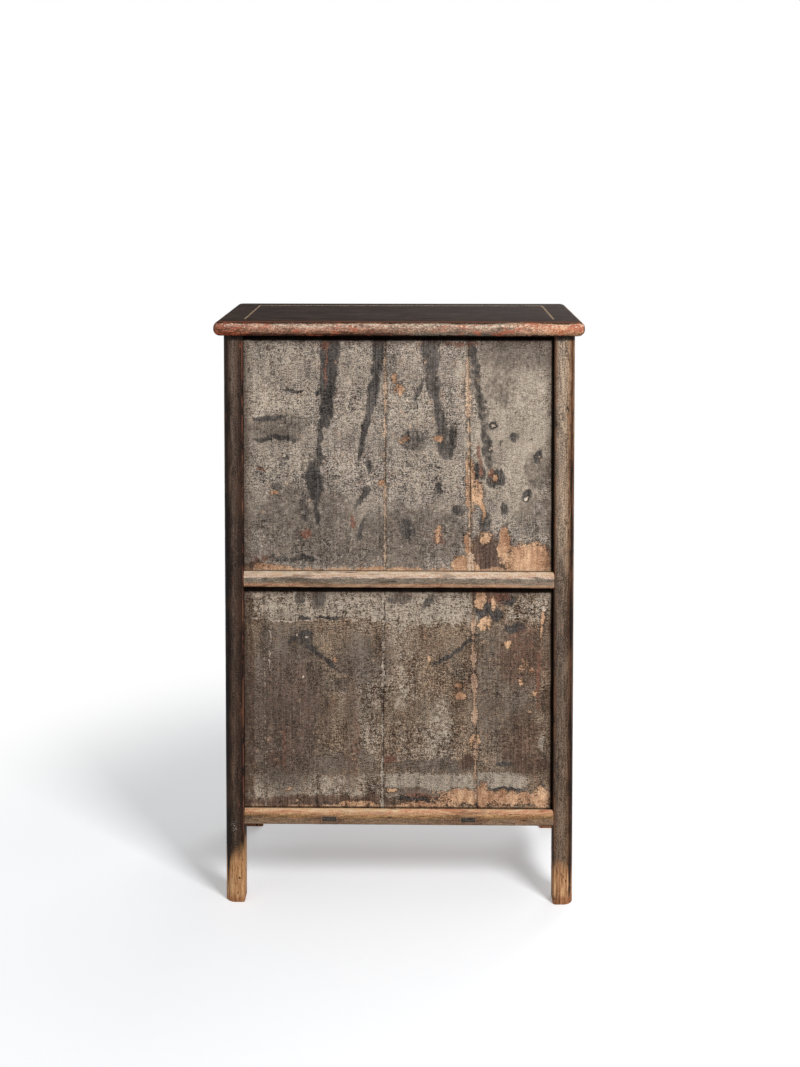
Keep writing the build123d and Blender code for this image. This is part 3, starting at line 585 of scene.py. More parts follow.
class Tone(Enum):
    """Colours of the marks that age left, each as its darker and its lighter shade."""

    SOOT = ((22, 21, 21), (108, 101, 96))
    SHADE = ((54, 47, 42), (138, 124, 111))
    UMBER = ((50, 37, 31), (132, 104, 88))
    OCHRE = ((128, 84, 59), (238, 197, 158))
    BLOOM = ((122, 111, 99), (200, 184, 165))
    RUST = ((76, 48, 40), (152, 110, 90))
    LIME = ((150, 130, 112), (236, 218, 198))


@dataclass(frozen=True)
class Mark:
    """One stain, streak or loss, as an ellipse that the finish frays at its edge.

    Args:
        x: middle across the cabinet.
        z: middle up the cabinet.
        wide: half its width.
        high: half its height.
        tilt: turn in degrees, positive leaning its head toward +X.
        strength: how strong it is at its middle.
        soft: how far its edge fades, as a share of its size.
        boxed: square corners instead of an ellipse.
    """

    x: float
    z: float
    wide: float
    high: float
    tilt: float = 0.0
    strength: float = 1.0
    soft: float = 0.5
    boxed: bool = False


@dataclass(frozen=True)
class Seam:
    """Joint between two boards, or a long crack beside one.

    Args:
        foot: place across at the foot of the panel.
        head: place across at its head.
        reach: how far the lacquer beside it is worn at most.
        shades: the bare edge, dark to light.
        opening: half the width of the joint itself.
    """

    foot: float
    head: float
    reach: float = 0.006
    shades: tuple[Rgb, Rgb] = ((126, 98, 79), (218, 188, 160))
    opening: float = 0.0009


@dataclass(frozen=True)
class BoardFinish:
    """Old lacquer on the wide boards of the back, with its drips, losses and seams.

    Args:
        name: material name.
        low: height of the panel's lower edge.
        high: height of its upper edge.
        ground: shades of the sound lacquer, dark to light.
        seams: joints between the boards.
        marks: marks of each tone, laid on in this order.
        ragged: how far the losses climb from the lower edge.
        shaded: height of the dark line along the lower edge.
    """

    name: str
    low: float
    high: float
    ground: tuple[Rgb, Rgb, Rgb, Rgb, Rgb]
    seams: tuple[Seam, ...]
    marks: tuple[tuple[Tone, tuple[Mark, ...]], ...]
    ragged: float = 0.02
    shaded: float = 0.0016

    def material(self) -> bpy.types.Material:
        """Build the finish.

        Returns:
            The material.
        """
        graph = Graph(self.name)
        grit = graph.blend(
            (0.56, graph.noise(470.0, (1.0, 1.0, 0.9), detail=1.0, shift=1.0)),
            (0.24, graph.noise(470.0, (0.14, 1.0, 1.0), detail=1.0, shift=9.0)),
            (0.20, graph.noise(150.0, (1.0, 1.0, 0.7), detail=4.0, rough=0.7, shift=5.0)),
        )
        strand = graph.noise(240.0, (1.0, 1.0, 0.03), detail=2.0, shift=7.0)
        patch = graph.noise(26.0, (1.0, 1.0, 0.5), detail=5.0, rough=0.65, shift=3.0)
        cloud = graph.noise(8.0, (1.0, 1.0, 0.6), detail=3.0, shift=2.0)
        level = graph.blend((4.9, grit), (0.60, strand), (1.15, patch), (0.6, cloud), (-3.12, 1.0))
        colour = graph.ramp(level, tuple(zip((0.0, 0.3, 0.5, 0.7, 1.0), self.ground)))
        craze = graph.math("MINIMUM", graph.cells(120.0, (1.0, 1.0, 0.8)), graph.times(graph.cells(46.0, (1.0, 1.0, 0.7)), 1.6))
        craze = graph.times(graph.smooth(craze, 0.10, 0.02), graph.smooth(graph.blend((0.6, patch), (0.4, cloud)), 0.38, 0.62, 0.75))
        colour = graph.mix(craze, colour, graph.ramp(grit, ((0.35, (34, 28, 25)), (0.5, (96, 82, 70)), (0.62, (204, 184, 160)))))
        warm = graph.smooth(graph.noise(75.0, (1.0, 1.0, 0.5), detail=4.0, shift=21.0), 0.5, 0.72, 0.42)
        colour = graph.mix(warm, colour, graph.ramp(level, ((0.0, (60, 40, 32)), (0.5, (132, 98, 76)), (1.0, (196, 152, 118)))))
        cool = graph.smooth(graph.noise(18.0, (1.0, 1.0, 0.4), detail=4.0, shift=27.0), 0.5, 0.7, 0.22)
        colour = graph.mix(cool, colour, graph.ramp(level, ((0.0, (46, 47, 45)), (0.5, (108, 106, 98)), (1.0, (168, 164, 150)))))

        warp_x = graph.times(graph.less(graph.noise(30.0, detail=5.0, rough=0.7, shift=3.0), 0.5), 0.034)
        warp_z = graph.times(graph.less(patch, 0.5), 0.050)
        join = graph.nodes.new("ShaderNodeCombineXYZ")
        graph.links.new(graph.add(graph.x, warp_x), join.inputs[0])
        graph.links.new(graph.add(graph.z, warp_z), join.inputs[2])
        crumb = graph.noise(95.0, (1.0, 1.0, 0.8), detail=5.0, rough=0.78, shift=63.0)
        fray = graph.blend((2.4, grit), (0.9, patch), (2.6, crumb), (-2.95, 1.0))
        losses = None
        for tone, marks in self.marks:
            mask = self._mark(graph, join.outputs[0], marks[0])
            for mark in marks[1:]:
                mask = graph.math("MAXIMUM", mask, self._mark(graph, join.outputs[0], mark))
            ragged = graph.times(fray, graph.smooth(mask, 0.0, 0.3))
            frayed = graph.add(mask, ragged)
            mask = graph.smooth(frayed, 0.16, 0.64, 0.93)
            dark, light = tone.value
            middle = tuple((low + high) / 2 for low, high in zip(dark, light))
            body = level
            if tone in (Tone.SOOT, Tone.UMBER):
                body = graph.blend((1.5, strand), (3.2, grit), (1.4, patch), (-2.60, 1.0))
            elif tone in (Tone.OCHRE, Tone.LIME):
                losses = mask if losses is None else graph.math("MAXIMUM", losses, mask)
                colour = graph.mix(graph.smooth(frayed, -0.02, 0.22, 0.6), colour, shade(46, 33, 27))
                body = graph.blend((0.7, strand), (2.0, patch), (2.2, grit), (-1.9, 1.0))
            colour = graph.mix(mask, colour, graph.ramp(body, ((0.0, dark), (0.5, middle), (1.0, light))))

        flake = graph.noise(52.0, (1.0, 1.0, 0.8), detail=5.0, rough=0.7, shift=41.0)
        peeled = graph.smooth(flake, 0.655, 0.69, 0.85)
        colour = graph.mix(peeled, colour, graph.ramp(level, ((0.0, (136, 100, 74)), (0.8, (216, 180, 148)))))
        pit = graph.smooth(graph.noise(62.0, detail=4.0, rough=0.68, shift=53.0), 0.645, 0.69, 0.85)
        colour = graph.mix(pit, colour, shade(34, 27, 24))
        climb = graph.noise(38.0, (1.0, 1.0, 0.3), detail=5.0, rough=0.7, shift=13.0)
        edge = graph.add(self.low - self.ragged * 0.8, graph.times(climb, self.ragged * 2.6))
        bottom = graph.smooth(graph.add(graph.less(graph.z, edge), graph.times(fray, 0.004)), 0.003, -0.004, 0.85)
        colour = graph.mix(bottom, colour, graph.ramp(level, ((0.1, (134, 96, 68)), (0.9, (222, 184, 150)))))
        for seam in self.seams:
            beside, worn, gap = self._seam(graph, seam, patch, fray)
            dark, light = seam.shades
            colour = graph.mix(beside, colour, shade(50, 36, 29))
            colour = graph.mix(worn, colour, graph.ramp(level, ((0.1, dark), (0.8, light))))
            colour = graph.mix(graph.times(gap, 0.75), colour, shade(36, 25, 20))
            losses = graph.math("MAXIMUM", losses, worn)
        # Painted shade in the corners, and near-black painted shadow lines under the cap or rail and beside the posts.
        colour, black = self._painted_shade(graph, colour, patch)

        inside = graph.smooth(graph.inward(graph.y, STANCE.foot_y, STANCE.lean_y), 0.0150, 0.0180)
        plain = graph.blend((1.1, strand), (1.2, patch), (0.6, grit), (-0.95, 1.0))
        colour = graph.mix(inside, colour, graph.ramp(plain, ((0.1, (66, 46, 33)), (0.5, (112, 82, 58)), (0.9, (150, 116, 86)))))
        crack = graph.smooth(graph.cells(110.0, (1.0, 1.0, 0.6)), 0.0, 0.08)
        height = graph.blend((1.3, grit), (0.3, strand), (0.1, crack), (-0.4, losses), (-0.4, pit), (-0.3, peeled))
        graph.bump(height, 0.0014, 0.9)
        # No specular on the painted shadow lines.
        gloss = graph.times(graph.less(1.0, black), 0.09)
        return graph.close(colour, graph.add(0.62, graph.times(grit, 0.3)), gloss=gloss)

    @staticmethod
    def _mark(graph: Graph, place: Socket, mark: Mark) -> Socket:
        """Mask of one mark, from how far a place lies out along its width and its height."""
        turn = math.radians(mark.tilt)
        out = graph.vector("SUBTRACT", place, (mark.x, 0.0, mark.z))
        across = (math.cos(turn) / mark.wide, 0.0, -math.sin(turn) / mark.wide)
        up = (math.sin(turn) / mark.high, 0.0, math.cos(turn) / mark.high)
        first = graph.vector("DOT_PRODUCT", out, across)
        second = graph.vector("DOT_PRODUCT", out, up)
        first, second = graph.times(first, first), graph.times(second, second)
        square = graph.math("MAXIMUM" if mark.boxed else "ADD", first, second)
        return graph.smooth(square, (1 + mark.soft) ** 2, (1 - mark.soft) ** 2, mark.strength)

    def _seam(self, graph: Graph, seam: Seam, patch: Socket, fray: Socket) -> tuple[Socket, Socket, Socket]:
        """Masks of a seam: the dirt beside it, the worn lacquer along it, and the open joint itself."""
        slope = (seam.head - seam.foot) / (self.high - self.low)
        line = graph.add(graph.times(graph.z, slope), seam.foot - slope * self.low)
        aside = graph.add(graph.less(graph.x, line), graph.times(graph.less(patch, 0.5), 0.006))
        distance = graph.math("ABSOLUTE", aside)
        along = graph.noise(30.0, (0.2, 1.0, 0.5), detail=5.0, rough=0.7, shift=31.0)
        reach = graph.smooth(along, 0.40, 0.66, seam.reach)
        frayed = graph.blend((1.0, distance), (-1.0, reach), (-0.0085, fray), (0.0020, 1.0))
        shut = graph.math("ABSOLUTE", graph.add(aside, 0.0024))
        gap = graph.times(graph.smooth(shut, seam.opening * 2, seam.opening), graph.smooth(along, 0.60, 0.42))
        return graph.smooth(frayed, 0.0058, 0.0030, 0.55), graph.smooth(frayed, 0.0026, 0.0004, 0.9), gap

    def _painted_shade(self, graph: Graph, colour: Socket, patch: Socket) -> tuple[Socket, Socket]:
        """Painted shade in the corners against the posts and under the cap or rail, and the mask of the near-black
        painted shadow lines there and of a dark line along the lower edge.
        """
        tilt = (STANCE.half_width(self.high) - STANCE.half_width(self.low)) / (self.high - self.low)
        edge = STANCE.half_width(self.low, STANCE.post_size) - tilt * self.low
        side = graph.less(graph.add(edge, graph.times(graph.z, tilt)), graph.math("ABSOLUTE", graph.x))
        head = graph.less(self.high, graph.z)
        waver = graph.times(graph.less(patch, 0.5), 0.03)
        # Painted shade: a darker band along the posts (corner) and under the cap or rail (under).
        corner = graph.smooth(graph.add(side, waver), 0.030, 0.004, 0.6)
        under = graph.smooth(graph.add(head, waver), 0.040, 0.008, 0.56)
        colour = graph.mix(graph.math("MAXIMUM", corner, under), colour, shade(66, 48, 38))
        # Painted shadow: a near-black line under the cap or rail (line) and beside the posts (shaded), wider on the -X
        # side, where the key light throws it.
        line = graph.smooth(graph.add(head, graph.times(waver, 0.1)), 0.0170, 0.0115, 0.97)
        beside = graph.add(side, graph.times(graph.smooth(graph.x, -0.01, 0.01), 0.0090))
        shaded = graph.smooth(graph.add(beside, graph.times(waver, 0.1)), 0.0105, 0.0060, 0.95)
        # A dark line along the lower edge (foot), laid in with the painted shadow lines.
        foot = graph.smooth(graph.less(graph.z, self.low), self.shaded + 0.0030, self.shaded, 0.8)
        black = graph.math("MAXIMUM", line, graph.math("MAXIMUM", shaded, foot))
        return graph.mix(black, colour, shade(7, 4, 3)), black


@dataclass(frozen=True)
class RailFinish:
    """Worn lacquer on a rail, darker on its lower round and lighter on its upper one: partly worn colour, partly
    painted shade and painted highlight.

    Args:
        name: material name.
        low: height of the rail's lower edge.
        high: height of its upper edge.
        bands_with_highlight: colours up the rail, by share of its height, with painted shade at the lower round and a
            painted highlight on the upper round.
        stain: shade of the sound lacquer left in patches.
        grey: its faded shade.
        red: shade of the ground coat where it shows.
        cover: share of the rail that still has that lacquer.
        grain: the axis that the grain runs along.
        tenons: places across and heights of the through tenons that end in it.
        ends: how far out along the depth its own end grain starts.
    """

    name: str
    low: float
    high: float
    bands_with_highlight: tuple[tuple[float, Rgb], ...]
    stain: Rgb = (78, 62, 52)
    grey: Rgb = (128, 118, 104)
    red: Rgb = (150, 104, 80)
    cover: float = 0.25
    grain: int = 0
    tenons: tuple[tuple[float, float], ...] = ()
    ends: float = 0.3

    def material(self) -> bpy.types.Material:
        """Build the finish.

        Returns:
            The material.
        """
        graph = Graph(self.name)
        stretch = [1.0, 1.0, 1.0]
        stretch[self.grain] = 0.14
        fibre = graph.noise(240.0, stretch, detail=4.0, rough=0.65, shift=2.0)
        patch = graph.noise(30.0, stretch, detail=5.0, rough=0.65, shift=8.0)
        fleck = graph.noise(400.0, detail=3.0, rough=0.7, shift=4.0)
        share = graph.times(graph.less(graph.z, self.low), 1 / (self.high - self.low))
        share = graph.blend((1.0, share), (0.50, patch), (0.22, fibre), (-0.36, 1.0))
        # Colours up the rail: worn lacquer, with painted shade on the lower round and a painted highlight on the upper
        # round.
        colour = graph.ramp(share, self.bands_with_highlight)
        light = graph.blend((3.6, fleck), (2.2, fibre), (1.0, patch), (-2.9, 1.0))
        tone = graph.ramp(light, ((0.0, (46, 42, 40)), (0.5, (127, 126, 124)), (1.0, (204, 202, 198))))
        colour = graph.mix(0.7, colour, tone, "OVERLAY")
        left = graph.blend((1.0, patch), (0.5, fleck), (-0.25, 1.0))
        left = graph.smooth(left, 0.70 - self.cover * 0.5, 0.76 - self.cover * 0.5, 0.75)
        colour = graph.mix(left, colour, graph.mix(graph.smooth(light, 0.2, 0.9), shade(*self.stain), shade(*self.grey)))
        red = graph.smooth(graph.noise(70.0, stretch, detail=4.0, rough=0.7, shift=17.0), 0.57, 0.66, 0.4)
        colour = graph.mix(red, colour, shade(*self.red))
        pit = graph.smooth(graph.noise(150.0, stretch, detail=3.0, shift=23.0), 0.63, 0.70, 0.85)
        colour = graph.mix(pit, colour, shade(30, 20, 16))
        soil = graph.smooth(graph.noise(44.0, stretch, detail=5.0, rough=0.75, shift=31.0), 0.53, 0.61, 0.55)
        colour = graph.mix(soil, colour, shade(72, 56, 47))
        rub = graph.times(graph.attribute("wear"), graph.smooth(patch, 0.4, 0.6))
        colour = graph.mix(graph.times(rub, 0.35), colour, shade(214, 178, 146))
        # Painted shade: a dark line along the rail's lower edge.
        foot = graph.smooth(graph.blend((1.0, graph.less(graph.z, self.low)), (0.006, fibre), (-0.003, 1.0)), 0.0032, 0.0006, 0.7)
        colour = graph.mix(foot, colour, shade(30, 20, 15))
        for x, z in self.tenons:
            colour = self._tenon(graph, colour, x, z, patch, light)
        out = graph.smooth(graph.math("ABSOLUTE", graph.y), self.ends, self.ends + 0.0015)
        colour = graph.mix(out, colour, graph.ramp(light, ((0.1, (20, 16, 15)), (0.7, (70, 58, 50)), (1.0, (168, 150, 134)))))
        graph.bump(graph.blend((0.7, fibre), (0.5, fleck), (0.3, left), (-0.4, pit)), 0.0010, 0.8)
        return graph.close(colour, graph.add(0.55, graph.times(fleck, 0.35)), gloss=0.14)

    @staticmethod
    def _tenon(graph: Graph, colour: Socket, x: float, z: float, patch: Socket, light: Socket) -> Socket:
        """Dark end grain of a through tenon at one place, with the stain around it."""
        half_wide, half_high = TENON_HALF
        across = graph.math("ABSOLUTE", graph.less(graph.x, x))
        up = graph.math("ABSOLUTE", graph.less(graph.z, z))
        waver = graph.times(graph.less(patch, 0.5), 0.16)
        stain = graph.smooth(graph.add(across, waver), 0.085, 0.018, 0.55)
        stain = graph.times(stain, graph.smooth(graph.blend((1.0, graph.z), (0.08, waver)), z + 0.016, z + 0.006))
        colour = graph.mix(stain, colour, graph.ramp(light, ((0.0, (48, 32, 27)), (1.0, (132, 92, 72)))))
        out = graph.math("MAXIMUM", graph.less(across, half_wide), graph.less(up, half_high))
        joint = graph.smooth(out, 0.0022, 0.0006, 0.8)
        colour = graph.mix(joint, colour, shade(134, 108, 88))
        end = graph.smooth(out, 0.0004, -0.0012, 0.95)
        return graph.mix(end, colour, graph.ramp(light, ((0.1, (18, 16, 16)), (0.9, (88, 78, 70)))))


@dataclass(frozen=True)
class PostFinish:
    """Lacquer of a post, rubbed to bare wood at its foot.

    Args:
        name: material name.
        across: colours of a flat face, from the round outer corner to the inner arris, near-black at the outer corner
            as painted shade on the round.
        up: how light the lacquer is up the post, by share of its height.
        arris: shade of the arris beside the panels.
        bare_high: how high the bare wood of the foot climbs.
        bare: shades of the bare wood, dark to light.
    """

    name: str
    across: tuple[tuple[float, Rgb], ...]
    up: tuple[tuple[float, Rgb], ...]
    arris: Rgb
    bare_high: float
    bare: tuple[Rgb, Rgb, Rgb] = ((80, 52, 35), (180, 130, 86), (240, 194, 142))

    def material(self) -> bpy.types.Material:
        """Build the finish.

        Returns:
            The material.
        """
        graph = Graph(self.name)
        fibre = graph.noise(250.0, (1.0, 1.0, 0.07), detail=4.0, rough=0.65, shift=2.0)
        patch = graph.noise(24.0, (1.0, 1.0, 0.25), detail=5.0, rough=0.62, shift=8.0)
        fleck = graph.noise(400.0, (1.0, 1.0, 0.8), detail=3.0, rough=0.7, shift=4.0)
        inward_x = graph.inward(graph.x, STANCE.foot_x, STANCE.lean_x)
        inward_y = graph.inward(graph.y, STANCE.foot_y, STANCE.lean_y)
        near = graph.math("MINIMUM", inward_x, inward_y)
        corner = graph.math("MAXIMUM", inward_x, inward_y)
        wander = graph.blend((0.014, patch), (0.006, fibre), (-0.010, 1.0))
        share = graph.times(graph.add(corner, wander), 1 / STANCE.post_size)
        # The first stops are near-black: painted shade on the round outer corner, over the lacquer's own colour.
        colour = graph.ramp(share, self.across)
        height = graph.blend((1 / STANCE.post_top, graph.z), (0.20, patch), (-0.10, 1.0))
        colour = graph.mix(1.0, colour, graph.ramp(height, self.up), "MULTIPLY")
        light = graph.blend((5.0, fleck), (3.0, fibre), (1.4, patch), (-4.2, 1.0))
        tone = graph.ramp(light, ((0.0, (34, 32, 31)), (0.5, (127, 126, 125)), (1.0, (208, 206, 202))))
        colour = graph.mix(0.75, colour, tone, "OVERLAY")
        scratch = graph.smooth(graph.noise(90.0, (1.0, 1.0, 0.25), detail=5.0, rough=0.7, shift=19.0), 0.62, 0.69, 0.7)
        colour = graph.mix(scratch, colour, shade(*self.arris))
        pit = graph.smooth(graph.noise(80.0, (1.0, 1.0, 0.4), detail=4.0, rough=0.7, shift=29.0), 0.60, 0.67, 0.8)
        colour = graph.mix(pit, colour, shade(22, 15, 12))
        broken = graph.smooth(graph.noise(70.0, (1.0, 1.0, 0.3), detail=3.0, shift=33.0), 0.42, 0.54, 0.75)
        face = graph.smooth(near, 0.010, 0.004)
        line = graph.math("ABSOLUTE", graph.less(corner, STANCE.post_size - 0.0030))
        line = graph.times(graph.smooth(graph.add(line, graph.times(wander, 0.05)), 0.0019, 0.0007), face)
        colour = graph.mix(graph.times(line, broken), colour, shade(*self.arris))
        deep = graph.smooth(near, 0.004, 0.026)
        colour = graph.mix(graph.times(deep, 0.45), colour, shade(38, 27, 22))
        # Painted shadow: near-black at the top of the post, under the cap.
        under = graph.smooth(graph.less(STANCE.post_top, graph.z), 0.016, 0.008, 0.9)
        colour = graph.mix(under, colour, shade(14, 10, 9))
        climb = graph.noise(16.0, (1.0, 1.0, 0.35), detail=5.0, shift=6.0)
        climb = graph.blend((1.0, graph.z), (0.20, climb), (0.10, fibre), (-0.15, 1.0), (-0.9, wander))
        bare = graph.smooth(graph.add(climb, graph.smooth(corner, 0.016, 0.004, 0.16)), self.bare_high + 0.035, self.bare_high - 0.035)
        grain = graph.blend((2.2, fibre), (0.9, fleck), (0.5, patch), (-1.3, 1.0))
        wood = graph.ramp(grain, ((0.0, self.bare[0]), (0.45, self.bare[1]), (1.0, self.bare[2])))
        colour = graph.mix(graph.times(bare, 0.92), colour, wood)
        rough_foot = graph.smooth(graph.blend((1.0, graph.z), (0.05, patch), (-0.025, 1.0)), 0.032, 0.010, 0.75)
        colour = graph.mix(rough_foot, colour, graph.ramp(grain, ((0.1, (70, 40, 28)), (0.9, (190, 128, 88)))))
        colour = graph.mix(graph.times(bare, graph.smooth(pit, 0.2, 0.6)), colour, shade(48, 30, 21))
        rub = graph.times(graph.attribute("wear"), graph.smooth(patch, 0.48, 0.62))
        colour = graph.mix(graph.times(rub, 0.25), colour, shade(158, 116, 86))
        relief = graph.blend((0.7, fibre), (0.5, fleck), (-0.4, pit), (-0.2, scratch))
        graph.bump(relief, 0.0010, 0.8)
        return graph.close(colour, graph.add(0.55, graph.times(fleck, 0.32)), gloss=0.12)


@dataclass(frozen=True)
class CapFinish:
    """Red-brown rim and near-black top of the cap, with its joint lines.

    Args:
        name: material name.
        rim: colours from the underside of the cap to its top, by share of its thickness, with painted shade on the
            lower round and a painted highlight over the upper part.
        ends: tints along the rim, each from where it starts to where it is full, and how strong.
        inner_x: half the length of the panel's opening.
        inner_y: half its depth.
    """

    name: str
    rim: tuple[tuple[float, Rgb], ...]
    ends: tuple[tuple[float, float, Rgb, float], ...]
    inner_x: float = 0.404
    inner_y: float = 0.174

    def material(self) -> bpy.types.Material:
        """Build the finish.

        Returns:
            The material.
        """
        graph = Graph(self.name)
        fibre = graph.noise(220.0, (0.10, 1.0, 1.0), detail=4.0, rough=0.65, shift=2.0)
        patch = graph.noise(22.0, (0.45, 1.0, 1.0), detail=5.0, rough=0.65, shift=8.0)
        fleck = graph.noise(290.0, (0.8, 1.0, 1.0), detail=2.0, rough=0.7, shift=4.0)
        share = graph.times(graph.less(graph.z, STANCE.post_top), 1 / 0.038)
        share = graph.blend((1.0, share), (0.34, patch), (0.20, fibre), (-0.27, 1.0))
        # Rim colours: the red-brown lacquer, with painted shade on the lower round and a painted highlight over the
        # upper part.
        colour = graph.ramp(share, self.rim)
        for start, stop, tint, strength in self.ends:
            reach = graph.smooth(graph.add(graph.x, graph.times(graph.less(patch, 0.5), 0.35)), start, stop, strength)
            colour = graph.mix(reach, colour, graph.mix(0.5, colour, shade(*tint)))
        light = graph.blend((3.2, fleck), (1.6, fibre), (1.8, patch), (-2.8, 1.0))
        tone = graph.ramp(light, ((0.0, (34, 31, 30)), (0.5, (127, 126, 125)), (1.0, (214, 212, 208))))
        colour = graph.mix(0.75, colour, tone, "OVERLAY")
        red = graph.smooth(graph.noise(42.0, (0.5, 1.0, 1.0), detail=5.0, rough=0.68, shift=12.0), 0.52, 0.62, 0.6)
        colour = graph.mix(red, colour, shade(172, 92, 66))
        chip = graph.noise(190.0, (0.7, 1.0, 1.0), detail=3.0, rough=0.7, shift=15.0)
        upper = graph.smooth(share, 0.52, 0.72)
        colour = graph.mix(graph.times(graph.smooth(chip, 0.50, 0.60, 0.85), upper), colour, shade(226, 204, 178))
        edge = graph.math("ABSOLUTE", graph.less(graph.z, STANCE.post_top + 0.0185))
        edge = graph.smooth(graph.add(edge, graph.times(graph.less(patch, 0.5), 0.012)), 0.0125, 0.0175)
        left = graph.smooth(graph.blend((1.0, chip), (0.5, patch), (0.28, edge)), 0.90, 1.0, 0.9)
        colour = graph.mix(left, colour, shade(34, 24, 20))
        # Painted shade: dark at both rounded ends of the rim.
        painted_shade_rim_end = graph.smooth(graph.math("ABSOLUTE", graph.x), 0.4735, 0.4780, 0.8)
        colour = graph.mix(painted_shade_rim_end, colour, shade(30, 17, 13))
        top = graph.smooth(graph.z, 1.6030, 1.6042)
        streaks = graph.blend((1.5, fibre), (1.0, patch), (0.7, fleck), (-1.1, 1.0))
        dark = graph.ramp(streaks, ((0.0, (20, 13, 11)), (0.5, (44, 32, 27)), (0.8, (70, 54, 45)), (1.0, (128, 100, 80))))
        colour = graph.mix(top, colour, dark)
        gap_x = graph.math("ABSOLUTE", graph.less(graph.math("ABSOLUTE", graph.x), self.inner_x))
        gap_y = graph.math("ABSOLUTE", graph.less(graph.math("ABSOLUTE", graph.y), self.inner_y))
        inside_x = graph.smooth(graph.math("ABSOLUTE", graph.x), self.inner_x + 0.002, self.inner_x)
        inside_y = graph.smooth(graph.math("ABSOLUTE", graph.y), self.inner_y + 0.002, self.inner_y)
        line = graph.math(
            "MAXIMUM",
            graph.times(graph.smooth(gap_x, 0.0036, 0.0014), inside_y),
            graph.times(graph.times(graph.smooth(gap_y, 0.0058, 0.0028), inside_x), graph.smooth(graph.y, 0.0, -0.01)),
        )
        dust = graph.times(graph.times(line, top), graph.smooth(fleck, 0.34, 0.56))
        colour = graph.mix(graph.times(dust, 0.9), colour, shade(214, 184, 152))
        lip = graph.smooth(graph.blend((1.0, graph.y), (0.010, patch), (-0.005, 1.0)), 0.2255, 0.2310)
        lip = graph.times(graph.times(lip, graph.smooth(graph.y, 0.2440, 0.2380)), graph.smooth(patch, 0.34, 0.46))
        colour = graph.mix(graph.times(graph.times(lip, top), 0.8), colour, shade(124, 72, 48))
        graph.bump(graph.blend((0.6, fibre), (0.5, fleck), (0.25, left)), 0.0010, 0.8)
        return graph.close(colour, graph.add(0.66, graph.times(fleck, 0.3)), gloss=0.03)


@dataclass(frozen=True)
class LacquerFinish:
    """Dark lacquer of the doors, sides and front, crazed and rubbed at its arrises.

    Args:
        name: material name.
        shades: the sound lacquer, dark to light.
        rubbed: shade where it is rubbed through.
        grain: the axis that the grain runs along.
        crazed: how strong the fine cracks are.
    """

    name: str
    shades: tuple[Rgb, Rgb, Rgb]
    rubbed: Rgb
    grain: int = 2
    crazed: float = 0.5

    def material(self) -> bpy.types.Material:
        """Build the finish.

        Returns:
            The material.
        """
        graph = Graph(self.name)
        stretch = [1.0, 1.0, 1.0]
        stretch[self.grain] = 0.08
        fibre = graph.noise(230.0, stretch, detail=4.0, rough=0.65, shift=2.0)
        patch = graph.noise(11.0, (1.0, 1.0, 0.6), detail=6.0, rough=0.65, shift=8.0)
        fleck = graph.noise(270.0, detail=3.0, rough=0.7, shift=4.0)
        level = graph.blend((1.5, fibre), (1.5, patch), (1.8, fleck), (-1.9, 1.0))
        dark, middle, light = self.shades
        deep = tuple(value * 0.62 for value in dark)
        colour = graph.ramp(level, ((0.0, deep), (0.3, dark), (0.55, middle), (1.0, light)))
        warm = graph.smooth(graph.noise(30.0, (1.0, 1.0, 0.5), detail=5.0, rough=0.7, shift=14.0), 0.52, 0.66, 0.4)
        worn = tuple(value * 0.62 for value in self.rubbed)
        colour = graph.mix(warm, colour, graph.mix(0.5, colour, shade(*worn)))
        chip = graph.blend((1.0, graph.noise(48.0, (1.0, 1.0, 0.8), detail=6.0, rough=0.74, shift=22.0)), (0.35, patch), (-0.175, 1.0))
        loss = graph.smooth(chip, 0.655, 0.685, 0.8)
        rub = graph.times(graph.attribute("wear"), graph.smooth(graph.blend((1.0, patch), (0.5, fleck)), 0.66, 0.88))
        gone = graph.math("MAXIMUM", loss, graph.times(rub, 0.85))
        bare = graph.ramp(graph.blend((1.4, fibre), (0.8, fleck), (-0.6, 1.0)), ((0.1, worn), (0.9, self.rubbed)))
        colour = graph.mix(graph.smooth(chip, 0.632, 0.655, 0.5), colour, shade(24, 16, 13))
        colour = graph.mix(gone, colour, bare)
        crack = graph.smooth(graph.cells(75.0), 0.0, 0.06)
        fine = graph.smooth(graph.cells(170.0, (1.0, 1.0, 0.7)), 0.0, 0.09)
        open_crack = graph.math("MAXIMUM", graph.less(1.0, crack), graph.times(graph.less(1.0, fine), graph.smooth(patch, 0.42, 0.6)))
        colour = graph.mix(graph.times(open_crack, 0.7 * self.crazed), colour, shade(20, 13, 11))
        scratch = graph.smooth(graph.noise(260.0, (1.0, 1.0, 0.02) if self.grain == 2 else (0.02, 0.02, 1.0), detail=2.0, shift=37.0), 0.66, 0.72, 0.4)
        colour = graph.mix(scratch, colour, shade(*self.rubbed))
        height = graph.blend((0.5, fibre), (0.4, fleck), (-0.4 * self.crazed, open_crack), (-0.4, gone))
        graph.bump(height, 0.0010, 0.8)
        return graph.close(colour, graph.blend((0.40, 1.0), (0.25, fleck), (0.25, gone)), gloss=0.28)


